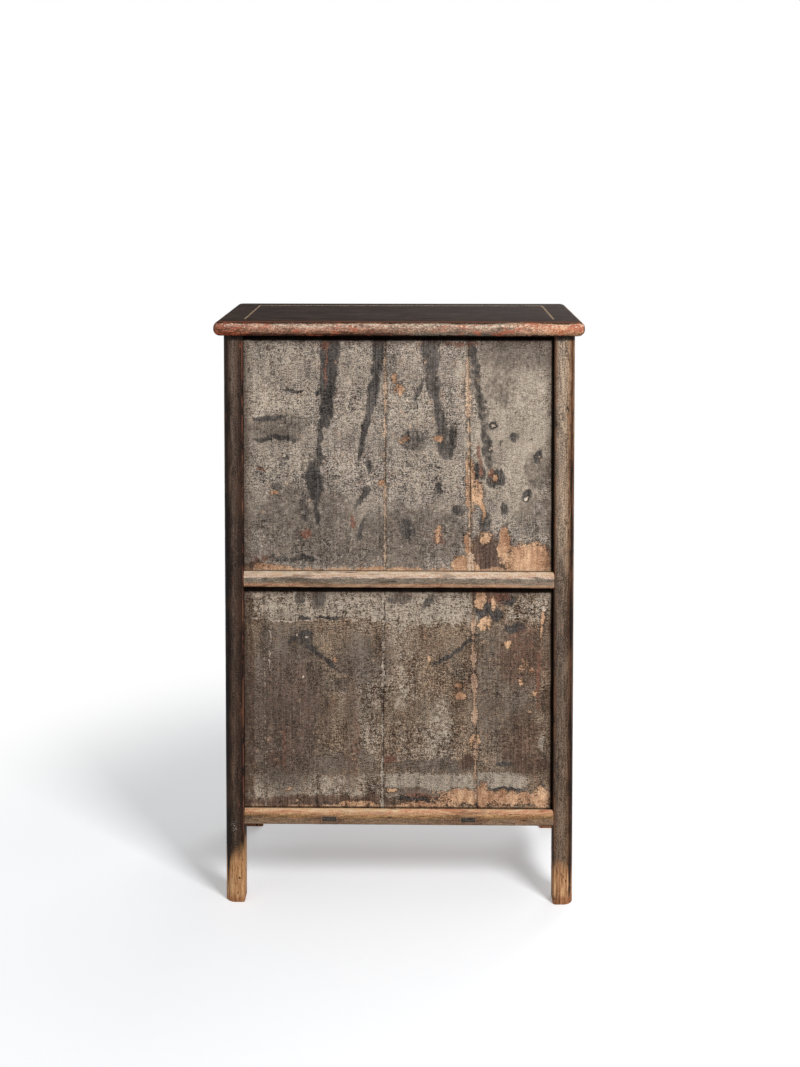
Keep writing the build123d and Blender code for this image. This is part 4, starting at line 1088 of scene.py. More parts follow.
@dataclass(frozen=True)
class WoodFinish:
    """Unfinished wood inside the cabinet, darkened by age.

    Args:
        name: material name.
        grain: the axis that the grain runs along.
        ends: how far out along the depth the wood still is plain; beyond it the ends are dark.
    """

    name: str
    grain: int = 0
    ends: float = 0.235

    def material(self) -> bpy.types.Material:
        """Build the finish.

        Returns:
            The material.
        """
        graph = Graph(self.name)
        stretch = [1.0, 1.0, 1.0]
        stretch[self.grain] = 0.05
        fibre = graph.noise(180.0, stretch, detail=4.0, rough=0.65, shift=2.0)
        figure = graph.noise(34.0, stretch, detail=3.0, rough=0.5, shift=5.0)
        rings = graph.math("SINE", graph.times(figure, 60.0))
        level = graph.add(graph.times(fibre, 0.7), graph.times(rings, 0.12))
        colour = graph.ramp(graph.smooth(level, 0.18, 0.62), ((0.0, (92, 62, 42)), (0.5, (134, 96, 66)), (1.0, (172, 130, 94))))
        dust = graph.smooth(graph.noise(11.0, detail=5.0, shift=12.0), 0.5, 0.75, 0.4)
        colour = graph.mix(dust, colour, shade(126, 108, 92))
        out = graph.smooth(graph.math("ABSOLUTE", graph.y), self.ends, self.ends + 0.0015)
        end_grain = graph.ramp(graph.noise(420.0, detail=3.0, shift=3.0), ((0.3, (34, 27, 24)), (0.7, (74, 58, 49))))
        colour = graph.mix(out, colour, end_grain)
        graph.bump(graph.add(graph.times(fibre, 0.7), graph.times(rings, 0.08)), 0.0007, 0.6)
        return graph.close(colour, graph.add(0.62, graph.times(fibre, 0.25)), gloss=0.25)


@dataclass(frozen=True)
class BrassFinish:
    """Old brass, brown where it is never touched and bright where hands rub it."""

    name: str = "aged_brass"

    def material(self) -> bpy.types.Material:
        """Build the finish.

        Returns:
            The material.
        """
        graph = Graph(self.name)
        cloud = graph.noise(60.0, detail=5.0, rough=0.65)
        fleck = graph.noise(600.0, detail=3.0, shift=4.0)
        scratch = graph.noise(900.0, (1.0, 1.0, 0.03), detail=2.0, shift=9.0)
        level = graph.smooth(graph.add(graph.times(cloud, 0.8), graph.times(fleck, 0.3)), 0.38, 0.72)
        colour = graph.ramp(level, ((0.0, (84, 60, 36)), (0.45, (140, 104, 58)), (1.0, (196, 158, 92))))
        spot = graph.smooth(graph.noise(140.0, detail=3.0, shift=15.0), 0.62, 0.7, 0.6)
        colour = graph.mix(spot, colour, shade(62, 56, 42))
        roughness = graph.add(graph.add(0.28, graph.times(fleck, 0.2)), graph.times(spot, 0.3))
        graph.bump(graph.add(graph.times(fleck, 0.5), graph.times(scratch, 0.4)), 0.0003, 0.5)
        return graph.close(colour, roughness, metal=0.9)


def streak(points: Sequence[tuple[float, float, float]], strength: float = 1.0) -> tuple[Mark, ...]:
    """A run of lacquer or soot down a board, as overlapping marks along its line.

    Args:
        points: places across, heights and half widths, from its head to its tail.
        strength: how strong it is.

    Returns:
        One mark for each stretch of the run.
    """
    marks = []
    for (x1, z1, w1), (x2, z2, w2) in zip(points, points[1:]):
        high = math.hypot(x2 - x1, z2 - z1) / 2
        tilt = math.degrees(math.atan2(x1 - x2, z1 - z2))
        marks.append(Mark((x1 + x2) / 2, (z1 + z2) / 2, (w1 + w2) / 2, high * 1.15 + 0.004, tilt, strength))
    return tuple(marks)


# The shop: finishes ready for use, and the fitting of pieces


class Shop:
    """Holds the finishes and fits each finished piece to the body that carries it."""

    def __init__(self) -> None:
        """Mix every finish once."""
        self.finishes = {name: finish.material() for name, finish in FINISHES.items()}
        self.count = 0

    def fit(
        self, piece: bpy.types.Object, finish: str, body: str, nodes: Sequence[str]
    ) -> bpy.types.Object:
        """Dress a piece, let it stand for its solids and fix it to its body.

        Args:
            piece: the finished object.
            finish: name of its finish.
            body: the body that carries it.
            nodes: the solids that it stands for.

        Returns:
            The piece.
        """
        piece.data.materials.append(self.finishes[finish])
        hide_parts(*nodes)
        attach(piece, body)
        self.count += 1
        LOG.info("%s: %d faces, %s, on %s", piece.name, len(piece.data.polygons), finish, body)
        return piece

    def dress(self, finish: str, *nodes: str) -> None:
        """Give solids that stay as they are a better finish.

        Args:
            finish: name of the finish.
            nodes: the solids.
        """
        for name in nodes:
            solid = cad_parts[name]
            if not solid.material_slots:
                solid.data.materials.append(self.finishes[finish])
            for slot in solid.material_slots:
                slot.material = self.finishes[finish]
            LOG.info("%s: kept as it is, %s", name, finish)


# Sub-assemblies


@dataclass
class Posts:
    """Four posts, round on the outside."""

    outer_round: float = 0.028
    arris_round: float = 0.006
    hidden_round: float = 0.003
    spacing: float = 0.007
    finishes: dict[str, str] = field(
        default_factory=lambda: {
            "back_right": "post_dark", "back_left": "post_taupe",
            "front_right": "post_front", "front_left": "post_front",
        }
    )

    def build(self, shop: Shop) -> None:
        """Make and fit all four."""
        for seed, (name, finish) in enumerate(self.finishes.items()):
            end = 1 if name.startswith("back") else -1
            side = 1 if name.endswith("right") else -1
            made = self.post(end, side, seed).piece("worn_post_" + name)
            shop.fit(made, finish, "cabinet", ["post_" + name])

    def post(self, end: int, side: int, seed: int) -> Blank:
        """Shape one post.

        Args:
            end: 1 at the back, -1 at the front.
            side: 1 on the right, -1 on the left.
            seed: picks its wear.

        Returns:
            The post in its place.
        """
        size = STANCE.post_size
        blank = Blank((size, size, STANCE.post_top))
        rounds = (
            (0.0, 0.0, self.outer_round, 10), (size, 0.0, self.arris_round, 4),
            (0.0, size, self.arris_round, 4), (size, size, self.hidden_round, 3),
        )
        for near_x, near_y, radius, segments in rounds:
            blank.round_over(
                lambda middle, axis: axis == 2
                and abs(middle.x - near_x) < 1e-4 and abs(middle.y - near_y) < 1e-4,
                radius, segments,
            )
        blank.rule(2, self.spacing)
        blank.settle(
            lambda spot: Vector(
                (
                    side * STANCE.half_width(spot.z, spot.x),
                    end * STANCE.half_depth(spot.z, spot.y),
                    spot.z,
                )
            )
        )
        blank.wear(2, 0.0006, 0.0016, 11 + seed)
        for vert in blank.mesh.verts:
            vert.co.z = max(vert.co.z, 0.0)
        return blank


@dataclass
class Cap:
    """Overhanging cap: four mitred members with a round rim, and a floating panel."""

    length: float = 0.96
    depth: float = 0.5
    thick: float = 0.038
    corner_round: float = 0.022
    rim_round: float = 0.017
    inner_x: float = 0.404
    inner_y: float = 0.174
    joint: float = 0.0006
    panel_thick: float = 0.013
    spacing: float = 0.009

    def build(self, shop: Shop) -> None:
        """Make and fit the members and the panel."""
        half_x, half_y = self.length / 2, self.depth / 2
        slope = Vector((half_y - self.inner_y, half_x - self.inner_x, 0.0)).normalized()
        for seed, (name, end) in enumerate((("back", 1), ("front", -1))):
            rail = self.whole()
            rail.trim(Vector((0.0, end * self.inner_y, 0.0)), Vector((0.0, -end, 0.0)))
            for side in (-1, 1):
                corner = Vector((side * self.inner_x, end * self.inner_y, 0.0))
                rail.trim(corner, Vector((side * slope.x, -end * slope.y, 0.0)))
            rail.slice(0, -half_x + self.spacing, half_x, self.spacing)
            rail.wear(0, 0.0005, 0.0016, 21 + seed)
            shop.fit(rail.piece("worn_cap_rail_" + name), "cap", "cabinet", ["cap_rail_" + name])
        for seed, (name, side) in enumerate((("right", 1), ("left", -1))):
            member = self.whole()
            member.trim(Vector((side * self.inner_x, 0.0, 0.0)), Vector((-side, 0.0, 0.0)))
            for end in (-1, 1):
                corner = Vector((side * self.inner_x, end * self.inner_y, 0.0))
                member.trim(corner, Vector((-side * slope.x, end * slope.y, 0.0)))
            member.slice(1, -half_y + self.spacing, half_y, self.spacing)
            member.wear(1, 0.0005, 0.0016, 31 + seed)
            shop.fit(member.piece("worn_cap_end_" + name), "cap", "cabinet", ["cap_end_" + name])
        panel_x, panel_y = self.inner_x - self.joint, self.inner_y - self.joint
        low = STANCE.post_top + self.thick - self.panel_thick
        panel = Blank((2 * panel_x, 2 * panel_y, self.panel_thick), (-panel_x, -panel_y, low))
        panel.round_over(lambda middle, axis: axis != 2 and middle.z > low + 0.006, 0.0008, 2)
        panel.rule(0, 0.02).rule(1, 0.02)
        panel.wear(0, 0.0004, 0.0008, 41, Vector((0.0, 0.0, 1.0)))
        shop.fit(panel.piece("worn_cap_panel"), "cap", "cabinet", ["cap_panel"])

    def whole(self) -> Blank:
        """The cap's whole outline, before the members are sawn out of it."""
        half_x, half_y = self.length / 2, self.depth / 2
        low, high = STANCE.post_top, STANCE.post_top + self.thick
        blank = Blank((self.length, self.depth, self.thick), (-half_x, -half_y, low))
        blank.round_over(lambda middle, axis: axis == 2, self.corner_round, 7)
        blank.round_over(
            lambda middle, axis: abs(middle.z - low) < 1e-5 or abs(middle.z - high) < 1e-5, self.rim_round, 7
        )
        return blank


@dataclass
class Back:
    """The back: two rails, and three boards above and below the middle one."""

    rail_inset: float = 0.002
    rail_thick: float = 0.034
    rail_round: float = 0.009
    bottom_rail: tuple[float, float] = (0.225, 0.269)
    middle_rail: tuple[float, float] = (0.893, 0.936)
    panel_inset: float = 0.012
    panel_thick: float = 0.009
    reach: float = 0.006
    upper_shares: tuple[tuple[float, float], ...] = ((-0.443, -0.466), (0.088, 0.0925))
    lower_shares: tuple[tuple[float, float], ...] = ((-0.473, -0.504), (0.099, 0.107))

    def build(self, shop: Shop) -> None:
        """Make and fit the rails and the boards."""
        for seed, (name, (low, high)) in enumerate((("bottom", self.bottom_rail), ("middle", self.middle_rail))):
            seat = between_posts(Face.BACK, self.rail_inset, low, high)
            rail = face_rail(seat, self.rail_thick, self.rail_round, 51 + seed)
            shop.fit(rail.piece("worn_back_rail_" + name), "rail_" + name, "cabinet", ["back_rail_" + name])
        fields = (
            ("upper", self.middle_rail[1], STANCE.post_top, self.upper_shares),
            ("lower", self.bottom_rail[1], self.middle_rail[0], self.lower_shares),
        )
        for field_name, low, high, shares in fields:
            lines = self.lines(low, high, shares)
            for order, name in enumerate(("left", "middle", "right")):
                seat = Seat(Face.BACK, self.panel_inset, lines[order], lines[order + 1], low - self.reach, high + self.reach)
                board = self.board(seat, 61 + order + 5 * len(field_name) + int(low * 10))
                node = f"back_board_{field_name}_{name}"
                shop.fit(board.piece("worn_" + node), "boards_" + field_name, "cabinet", [node])

    def lines(self, low: float, high: float, shares: Sequence[tuple[float, float]]) -> list[Line]:
        """Edges of a panel's three boards, from the left post to the right one.

        Args:
            low: height of the panel's lower edge.
            high: height of its upper edge.
            shares: seams as shares of the half opening, at the head and at the foot.

        Returns:
            Four lines, carried on into the grooves above and below.
        """
        at_low, at_high = STANCE.half_width(low, STANCE.post_size), STANCE.half_width(high, STANCE.post_size)
        edges = [(-at_low - self.reach, -at_high - self.reach)]
        edges += [(foot * at_low, head * at_high) for head, foot in shares]
        edges.append((at_low + self.reach, at_high + self.reach))
        lines = []
        for foot, head in edges:
            slope = (head - foot) / (high - low) * self.reach
            lines.append(Line(foot - slope, head + slope))
        return lines

    def board(self, seat: Seat, seed: int) -> Blank:
        """One board with a softened joint at its long edges.

        Args:
            seat: its place.
            seed: picks its wear.

        Returns:
            The board in its place.
        """
        size = seat.size
        size.y = self.panel_thick
        blank = Blank(size)
        blank.round_over(lambda middle, axis: axis == 2 and middle.y < 1e-4, 0.0012, 2)
        blank.rule(0, 0.008).rule(2, 0.008)
        blank.settle(seat.point)
        return blank.wear(2, 0.0009, 0.0006, seed, seat.face.outward)


def face_rail(seat: Seat, thick: float, radius: float, seed: int, spacing: float = 0.007) -> Blank:
    """Rail between two posts, with its two outer arrises rounded.

    Args:
        seat: its place.
        thick: its thickness.
        radius: radius of the outer rounds.
        seed: picks its wear.
        spacing: distance between the mesh's points along it.

    Returns:
        The rail in its place.
    """
    size = seat.size
    size.y = thick
    blank = Blank(size)
    blank.round_over(lambda middle, axis: axis == 0 and middle.y < 1e-4, radius, 6)
    blank.round_over(lambda middle, axis: axis == 0 and middle.y > thick - 1e-4, 0.001, 2)
    blank.rule(0, spacing).rule(2, 0.008)
    blank.settle(seat.point)
    grain = 1 if seat.face in (Face.RIGHT, Face.LEFT) else 0
    return blank.wear(grain, 0.0007, 0.0016, seed)


@dataclass
class Sides:
    """Both sides: a middle and a bottom rail, and a panel above and below the middle one."""

    rail_inset: float = 0.002
    rail_thick: float = 0.034
    rail_round: float = 0.009
    bottom_rail: tuple[float, float] = (0.200, 0.257)
    middle_rail: tuple[float, float] = (0.893, 0.936)
    panel_inset: float = 0.012
    panel_thick: float = 0.009
    reach: float = 0.006
    tenon_inset: float = 0.018
    tenon_thick: float = 0.015
    tenon: tuple[float, float] = (0.207, 0.237)

    def build(self, shop: Shop) -> None:
        """Make and fit both sides."""
        for side_seed, (side, face) in enumerate((("right", Face.RIGHT), ("left", Face.LEFT))):
            seed = 80 + 10 * side_seed
            middle = face_rail(between_posts(face, self.rail_inset, *self.middle_rail), self.rail_thick, self.rail_round, seed)
            shop.fit(middle.piece("worn_side_rail_middle_" + side), "side_rail", "cabinet", ["side_rail_middle_" + side])
            bottom = face_rail(between_posts(face, self.rail_inset, *self.bottom_rail), self.rail_thick, self.rail_round, seed + 1)
            bottom.take(self.through_tenon(face))
            shop.fit(bottom.piece("worn_side_rail_bottom_" + side), "side_rail_low", "cabinet", ["side_rail_bottom_" + side])
            for level, low, high in (("upper", self.middle_rail[1], STANCE.post_top), ("lower", self.bottom_rail[1], self.middle_rail[0])):
                node = f"side_panel_{level}_{side}"
                panel = self.panel(face, low, high, seed + 3 + len(level) + int(low * 9))
                shop.fit(panel.piece("worn_" + node), "side_board", "cabinet", [node])

    def panel(self, face: Face, low: float, high: float, seed: int) -> Blank:
        """One side panel.

        Args:
            face: the side it belongs to.
            low: height of the rail under it.
            high: height of the rail or cap over it.
            seed: picks its wear.

        Returns:
            The panel in its place.
        """
        seat = between_posts(face, self.panel_inset, low - self.reach, high + self.reach, self.reach)
        size = seat.size
        size.y = self.panel_thick
        blank = Blank(size).rule(0, 0.010).rule(2, 0.010).settle(seat.point)
        return blank.wear(2, 0.0010, 0.0, seed, face.outward)

    def through_tenon(self, face: Face) -> Blank:
        """End of the bottom rail's tenon, which shows in the back post.

        Args:
            face: the side it belongs to.

        Returns:
            The tenon, with its end dressed to the post's round.
        """
        low, high = self.tenon
        front = STANCE.half_depth(low, STANCE.post_size)
        seat = Seat(face, self.tenon_inset, Line(front, front), Line(STANCE.half_depth(low), STANCE.half_depth(high)), low, high)
        size = seat.size
        size.y = self.tenon_thick
        blank = Blank(size).settle(seat.point)
        radius = 0.028
        for degrees in (72.0, 80.0, 86.0):
            turn = math.radians(degrees)
            normal = Vector((math.cos(turn) * face.outward.x, math.sin(turn), 0.0))
            middle = Vector((face.outward.x * STANCE.half_width(low, radius), STANCE.half_depth(low, radius), low))
            blank.trim(middle + normal * radius, normal + Vector((0.0, 0.0, STANCE.lean_y)))
        return blank.wear(1, 0.0001, 0.0, 7)


@dataclass
class Doors:
    """Two framed doors."""

    inset: float = 0.002
    thick: float = 0.028
    low: float = 0.2715
    high: float = 1.564
    outer_inset: float = 0.056
    hanging_width: float = 0.050
    meeting_x: float = 0.0235
    meeting_width: float = 0.044
    rail_high: float = 0.050
    edge_round: float = 0.0135
    bead: float = 0.0035
    panel_inset: float = 0.006
    panel_thick: float = 0.009
    reach: float = 0.006

    def build(self, shop: Shop) -> None:
        """Make and fit both doors."""
        for seed, (side, sign) in enumerate((("right", 1), ("left", -1))):
            for order, part in enumerate(("hanging_stile", "meeting_stile", "rail_top", "rail_bottom")):
                node = f"door_{side}_{part}"
                member = self.member(part, sign, 110 + 10 * seed + order)
                finish = "door_stile" if "stile" in part else "door_rail"
                nodes = [node]
                shop.fit(member.piece("worn_" + node), finish, "door_" + side, nodes)
            panel = self.panel(sign, 118 + 10 * seed)
            shop.fit(panel.piece(f"worn_door_{side}_panel"), "door_panel", "door_" + side, [f"door_{side}_panel"])

    def outer(self, z: float) -> float:
        """Place of the door's hanging edge at height z."""
        return STANCE.half_width(z, self.outer_inset)

    def inner(self, z: float) -> float:
        """Place of the panel opening's hanging side at height z."""
        return STANCE.half_width(z, self.outer_inset + self.hanging_width)

    def member(self, part: str, sign: int, seed: int) -> Blank:
        """One member of a door's frame, mitred at its ends and beaded beside the panel.

        Args:
            part: which member.
            sign: 1 for the right door, -1 for the left.
            seed: picks its wear.

        Returns:
            The member in its place.
        """
        sill, head = self.low + self.rail_high, self.high - self.rail_high
        meeting = self.meeting_x + self.meeting_width
        if part == "hanging_stile":
            lines = Line(self.inner(self.low), self.inner(self.high)), Line(self.outer(self.low), self.outer(self.high))
            seat = Seat(Face.FRONT, self.inset, *lines, self.low, self.high)
        elif part == "meeting_stile":
            lines = Line(self.meeting_x, self.meeting_x), Line(meeting, meeting)
            seat = Seat(Face.FRONT, self.inset, *lines, self.low, self.high)
        elif part == "rail_top":
            lines = Line(self.meeting_x, self.meeting_x), Line(self.outer(head), self.outer(self.high))
            seat = Seat(Face.FRONT, self.inset, *lines, head, self.high)
        else:
            lines = Line(self.meeting_x, self.meeting_x), Line(self.outer(self.low), self.outer(sill))
            seat = Seat(Face.FRONT, self.inset, *lines, self.low, sill)
        size = seat.size
        size.y = self.thick
        blank = Blank(size)
        upright = "stile" in part
        along = 2 if upright else 0
        panel_side = {"hanging_stile": (0, 0.0), "meeting_stile": (0, size.x), "rail_top": (2, 0.0), "rail_bottom": (2, size.z)}[part]
        cross, level = panel_side
        if part == "hanging_stile":
            blank.round_over(lambda middle, axis: axis == 2 and abs(middle.x - size.x) < 1e-4, self.edge_round, 6)
        blank.round_over(
            lambda middle, axis: axis == along and middle.y < 1e-4 and abs(middle[cross] - level) < 1e-4,
            self.bead, 4,
        )
        blank.rule(along, 0.009)
        blank.settle(lambda spot: seat.point(spot))
        if upright:
            cuts = ((self.low, sill, -1), (self.high, head, 1))
            for edge, opening, way in cuts:
                outer_end = Vector((self.outer(edge) if part == "hanging_stile" else self.meeting_x, 0.0, edge))
                inner_end = Vector((self.inner(opening) if part == "hanging_stile" else meeting, 0.0, opening))
                blank.trim(*self.mitre(outer_end, inner_end, Vector((0.0, 0.0, way))))
        else:
            edge, opening = (self.high, head) if part == "rail_top" else (self.low, sill)
            ends = (
                (Vector((self.meeting_x, 0.0, edge)), Vector((meeting, 0.0, opening)), -1),
                (Vector((self.outer(edge), 0.0, edge)), Vector((self.inner(opening), 0.0, opening)), 1),
            )
            for outer_end, inner_end, way in ends:
                blank.trim(*self.mitre(outer_end, inner_end, Vector((way, 0.0, 0.0))))
        blank.settle(lambda spot: Vector((sign * spot.x, spot.y, spot.z)))
        return blank.wear(along, 0.0005, 0.0014, seed)

    @staticmethod
    def mitre(outer: Vector, inner: Vector, waste: Vector) -> tuple[Vector, Vector]:
        """Plane of a mitre through the frame's outer and inner corner.

        Args:
            outer: the outer corner.
            inner: the inner corner.
            waste: direction toward the part to be sawn off.

        Returns:
            A point of the plane and its direction.
        """
        normal = (inner - outer).cross(Vector((0.0, 1.0, 0.0))).normalized()
        return outer, normal if normal.dot(waste) > 0 else -normal

    def panel(self, sign: int, seed: int) -> Blank:
        """Floating panel of a door.

        Args:
            sign: 1 for the right door, -1 for the left.
            seed: picks its wear.

        Returns:
            The panel in its place.
        """
        low, high = self.low + self.rail_high - self.reach, self.high - self.rail_high + self.reach
        meeting = self.meeting_x + self.meeting_width - self.reach
        stop = Line(self.inner(low) + self.reach, self.inner(high) + self.reach)
        seat = Seat(Face.FRONT, self.panel_inset, Line(meeting, meeting), stop, low, high)
        size = seat.size
        size.y = self.panel_thick
        blank = Blank(size).rule(0, 0.012).rule(2, 0.012).settle(seat.point)
        blank.settle(lambda spot: Vector((sign * spot.x, spot.y, spot.z)))
        return blank.wear(2, 0.0010, 0.0, seed, Face.FRONT.outward)


@dataclass
class Front:
    """Fixed front: the bottom rail under the doors."""

    rail: tuple[float, float] = (0.225, 0.269)
    inset: float = 0.002
    thick: float = 0.034
    edge_round: float = 0.004

    def build(self, shop: Shop) -> None:
        """Dress the front's solids, whose sockets and slots stay open."""
        shop.dress("front_rail", "front_rail_bottom")
        shop.dress("front_apron", "front_apron")
        shop.dress("side_apron", "side_apron_left", "side_apron_right")
        shop.dress("door_stile", "center_stile")


@dataclass
class Inside:
    """What shows when the doors are open: floor, shelf, braces and battens."""

    def build(self, shop: Shop) -> None:
        """Dress the inner solids with wood that follows each piece's length."""
        shop.dress("wood_long", "bottom_panel", "shelf_panel", "shelf_rail_front", "back_batten_lower", "back_batten_upper")
        for pair in ("bottom_brace", "shelf_brace", "cap_brace"):
            shop.dress("wood_deep", pair + "_left", pair + "_right")
        for side in ("left", "right"):
            shop.dress("wood_long", f"door_{side}_brace_lower", f"door_{side}_brace_upper")


@dataclass
class Fittings:
    """Brass plates, loops and drop pulls."""

    def build(self, shop: Shop) -> None:
        """Dress the metal."""
        shop.dress("brass", "lock_plate_center")
        for side in ("left", "right"):
            shop.dress("brass", f"door_{side}_lock_plate", f"door_{side}_pull")


@dataclass
class Studio:
    """Camera, floor, backdrop and soft lamps."""

    eye: tuple[float, float, float] = (-0.05295432, 3.73809929, 2.00184978)
    turn: float = math.radians(0.8112)
    dip: float = math.radians(8.8839)
    lens: float = 46.1987
    shift: float = -0.1443177
    ambient: float = 0.25
    floor_glow: float = 0.26

    def build(self) -> None:
        """Set up everything that isn't the cabinet."""
        self.camera()
        self.floor()
        self.world()
        aim = Vector((0.0, 0.0, 0.75))
        self.lamp("key", Vector((-2.3, 3.3, 3.7)), aim, 1.3, 190.0)
        self.lamp("fill", Vector((2.8, 2.6, 1.6)), aim, 2.4, 10.0)
        self.lamp("front_fill", Vector((-1.5, -3.5, 2.3)), aim, 3.0, 72.0)
        bpy.context.scene.view_settings.view_transform = "Standard"

    def camera(self) -> None:
        """Place the camera at the photograph's viewing angle."""
        level = math.cos(self.dip)
        ahead = Vector((math.sin(self.turn) * level, -math.cos(self.turn) * level, -math.sin(self.dip)))
        right = ahead.cross(Vector((0.0, 0.0, 1.0))).normalized()
        rise = right.cross(ahead)
        data = bpy.data.cameras.new("camera")
        data.lens = self.lens
        data.sensor_width = 36.0
        data.shift_y = self.shift
        camera = bpy.data.objects.new("camera", data)
        turned = Matrix((right, rise, -ahead)).transposed().to_4x4()
        camera.matrix_world = Matrix.Translation(self.eye) @ turned
        bpy.context.scene.collection.objects.link(camera)
        bpy.context.scene.camera = camera

    def floor(self) -> None:
        """Lay a pale floor that keeps the shadow and fades to the white backdrop."""
        ground = bmesh.new()
        bmesh.ops.create_grid(ground, x_segments=8, y_segments=8, size=14.0)
        mesh = bpy.data.meshes.new("floor")
        ground.to_mesh(mesh)
        ground.free()
        floor = bpy.data.objects.new("floor", mesh)
        bpy.context.scene.collection.objects.link(floor)
        graph = Graph("pale_floor")
        grain = graph.noise(40.0, detail=2.0)
        colour = graph.ramp(grain, ((0.0, (243, 245, 248)), (1.0, (249, 251, 254))))
        graph.close(colour, graph.add(0.85, graph.times(grain, 0.1)), gloss=0.1)
        glow = graph.nodes.new("ShaderNodeEmission")
        lift = graph.nodes.new("ShaderNodeEmission")
        far = graph.nodes.new("ShaderNodeVectorMath")
        far.operation = "LENGTH"
        graph.links.new(graph.place, far.inputs[0])
        seen = self.seen(graph.nodes, graph.links)
        share = graph.times(graph.smooth(far.outputs["Value"], 0.85, 1.75), seen)
        graph.links.new(graph.times(seen, self.floor_glow), lift.inputs["Strength"])
        lifted = graph.nodes.new("ShaderNodeAddShader")
        graph.links.new(graph.shader.outputs[0], lifted.inputs[0])
        graph.links.new(lift.outputs[0], lifted.inputs[1])
        blend = graph.nodes.new("ShaderNodeMixShader")
        graph.links.new(share, blend.inputs[0])
        graph.links.new(lifted.outputs[0], blend.inputs[1])
        graph.links.new(glow.outputs[0], blend.inputs[2])
        graph.links.new(blend.outputs[0], graph.nodes["Material Output"].inputs[0])
        mesh.materials.append(graph.material)

    @staticmethod
    def seen(nodes: bpy.types.Nodes, links: bpy.types.NodeLinks) -> Socket:
        """Value of 1 for rays from the camera, a mirror or glass."""
        path = nodes.new("ShaderNodeLightPath")
        result = path.outputs["Is Camera Ray"]
        for name in ("Is Glossy Ray", "Is Transmission Ray"):
            node = nodes.new("ShaderNodeMath")
            node.operation = "MAXIMUM"
            links.new(result, node.inputs[0])
            links.new(path.outputs[name], node.inputs[1])
            result = node.outputs[0]
        return result

    def world(self) -> None:
        """White backdrop, with an even light of its own strength on the cabinet."""
        world = bpy.data.worlds.new("studio")
        bpy.context.scene.world = world
        world.use_nodes = True
        nodes, links = world.node_tree.nodes, world.node_tree.links
        even = nodes["Background"]
        even.inputs["Color"].default_value = (1.0, 1.0, 1.0, 1.0)
        even.inputs["Strength"].default_value = self.ambient
        backdrop = nodes.new("ShaderNodeBackground")
        backdrop.inputs["Color"].default_value = (1.0, 1.0, 1.0, 1.0)
        blend = nodes.new("ShaderNodeMixShader")
        links.new(self.seen(nodes, links), blend.inputs[0])
        links.new(even.outputs[0], blend.inputs[1])
        links.new(backdrop.outputs[0], blend.inputs[2])
        links.new(blend.outputs[0], nodes["World Output"].inputs[0])

    @staticmethod
    def lamp(name: str, place: Vector, aim: Vector, size: float, power: float) -> None:
        """Hang one soft lamp.

        Args:
            name: its name.
            place: where it hangs.
            aim: the point that it faces.
            size: its width.
            power: its power in watts.
        """
        data = bpy.data.lights.new(name, "AREA")
        data.size = size
        data.energy = power
        lamp = bpy.data.objects.new(name, data)
        lamp.location = place
        lamp.rotation_euler = (aim - place).to_track_quat("-Z", "Y").to_euler()
        bpy.context.scene.collection.objects.link(lamp)


# The finishes of this cabinet


TENON_PLACES = ((0.189, 0.243), (-0.189, 0.243))
TENON_HALF = (0.020, 0.0075)

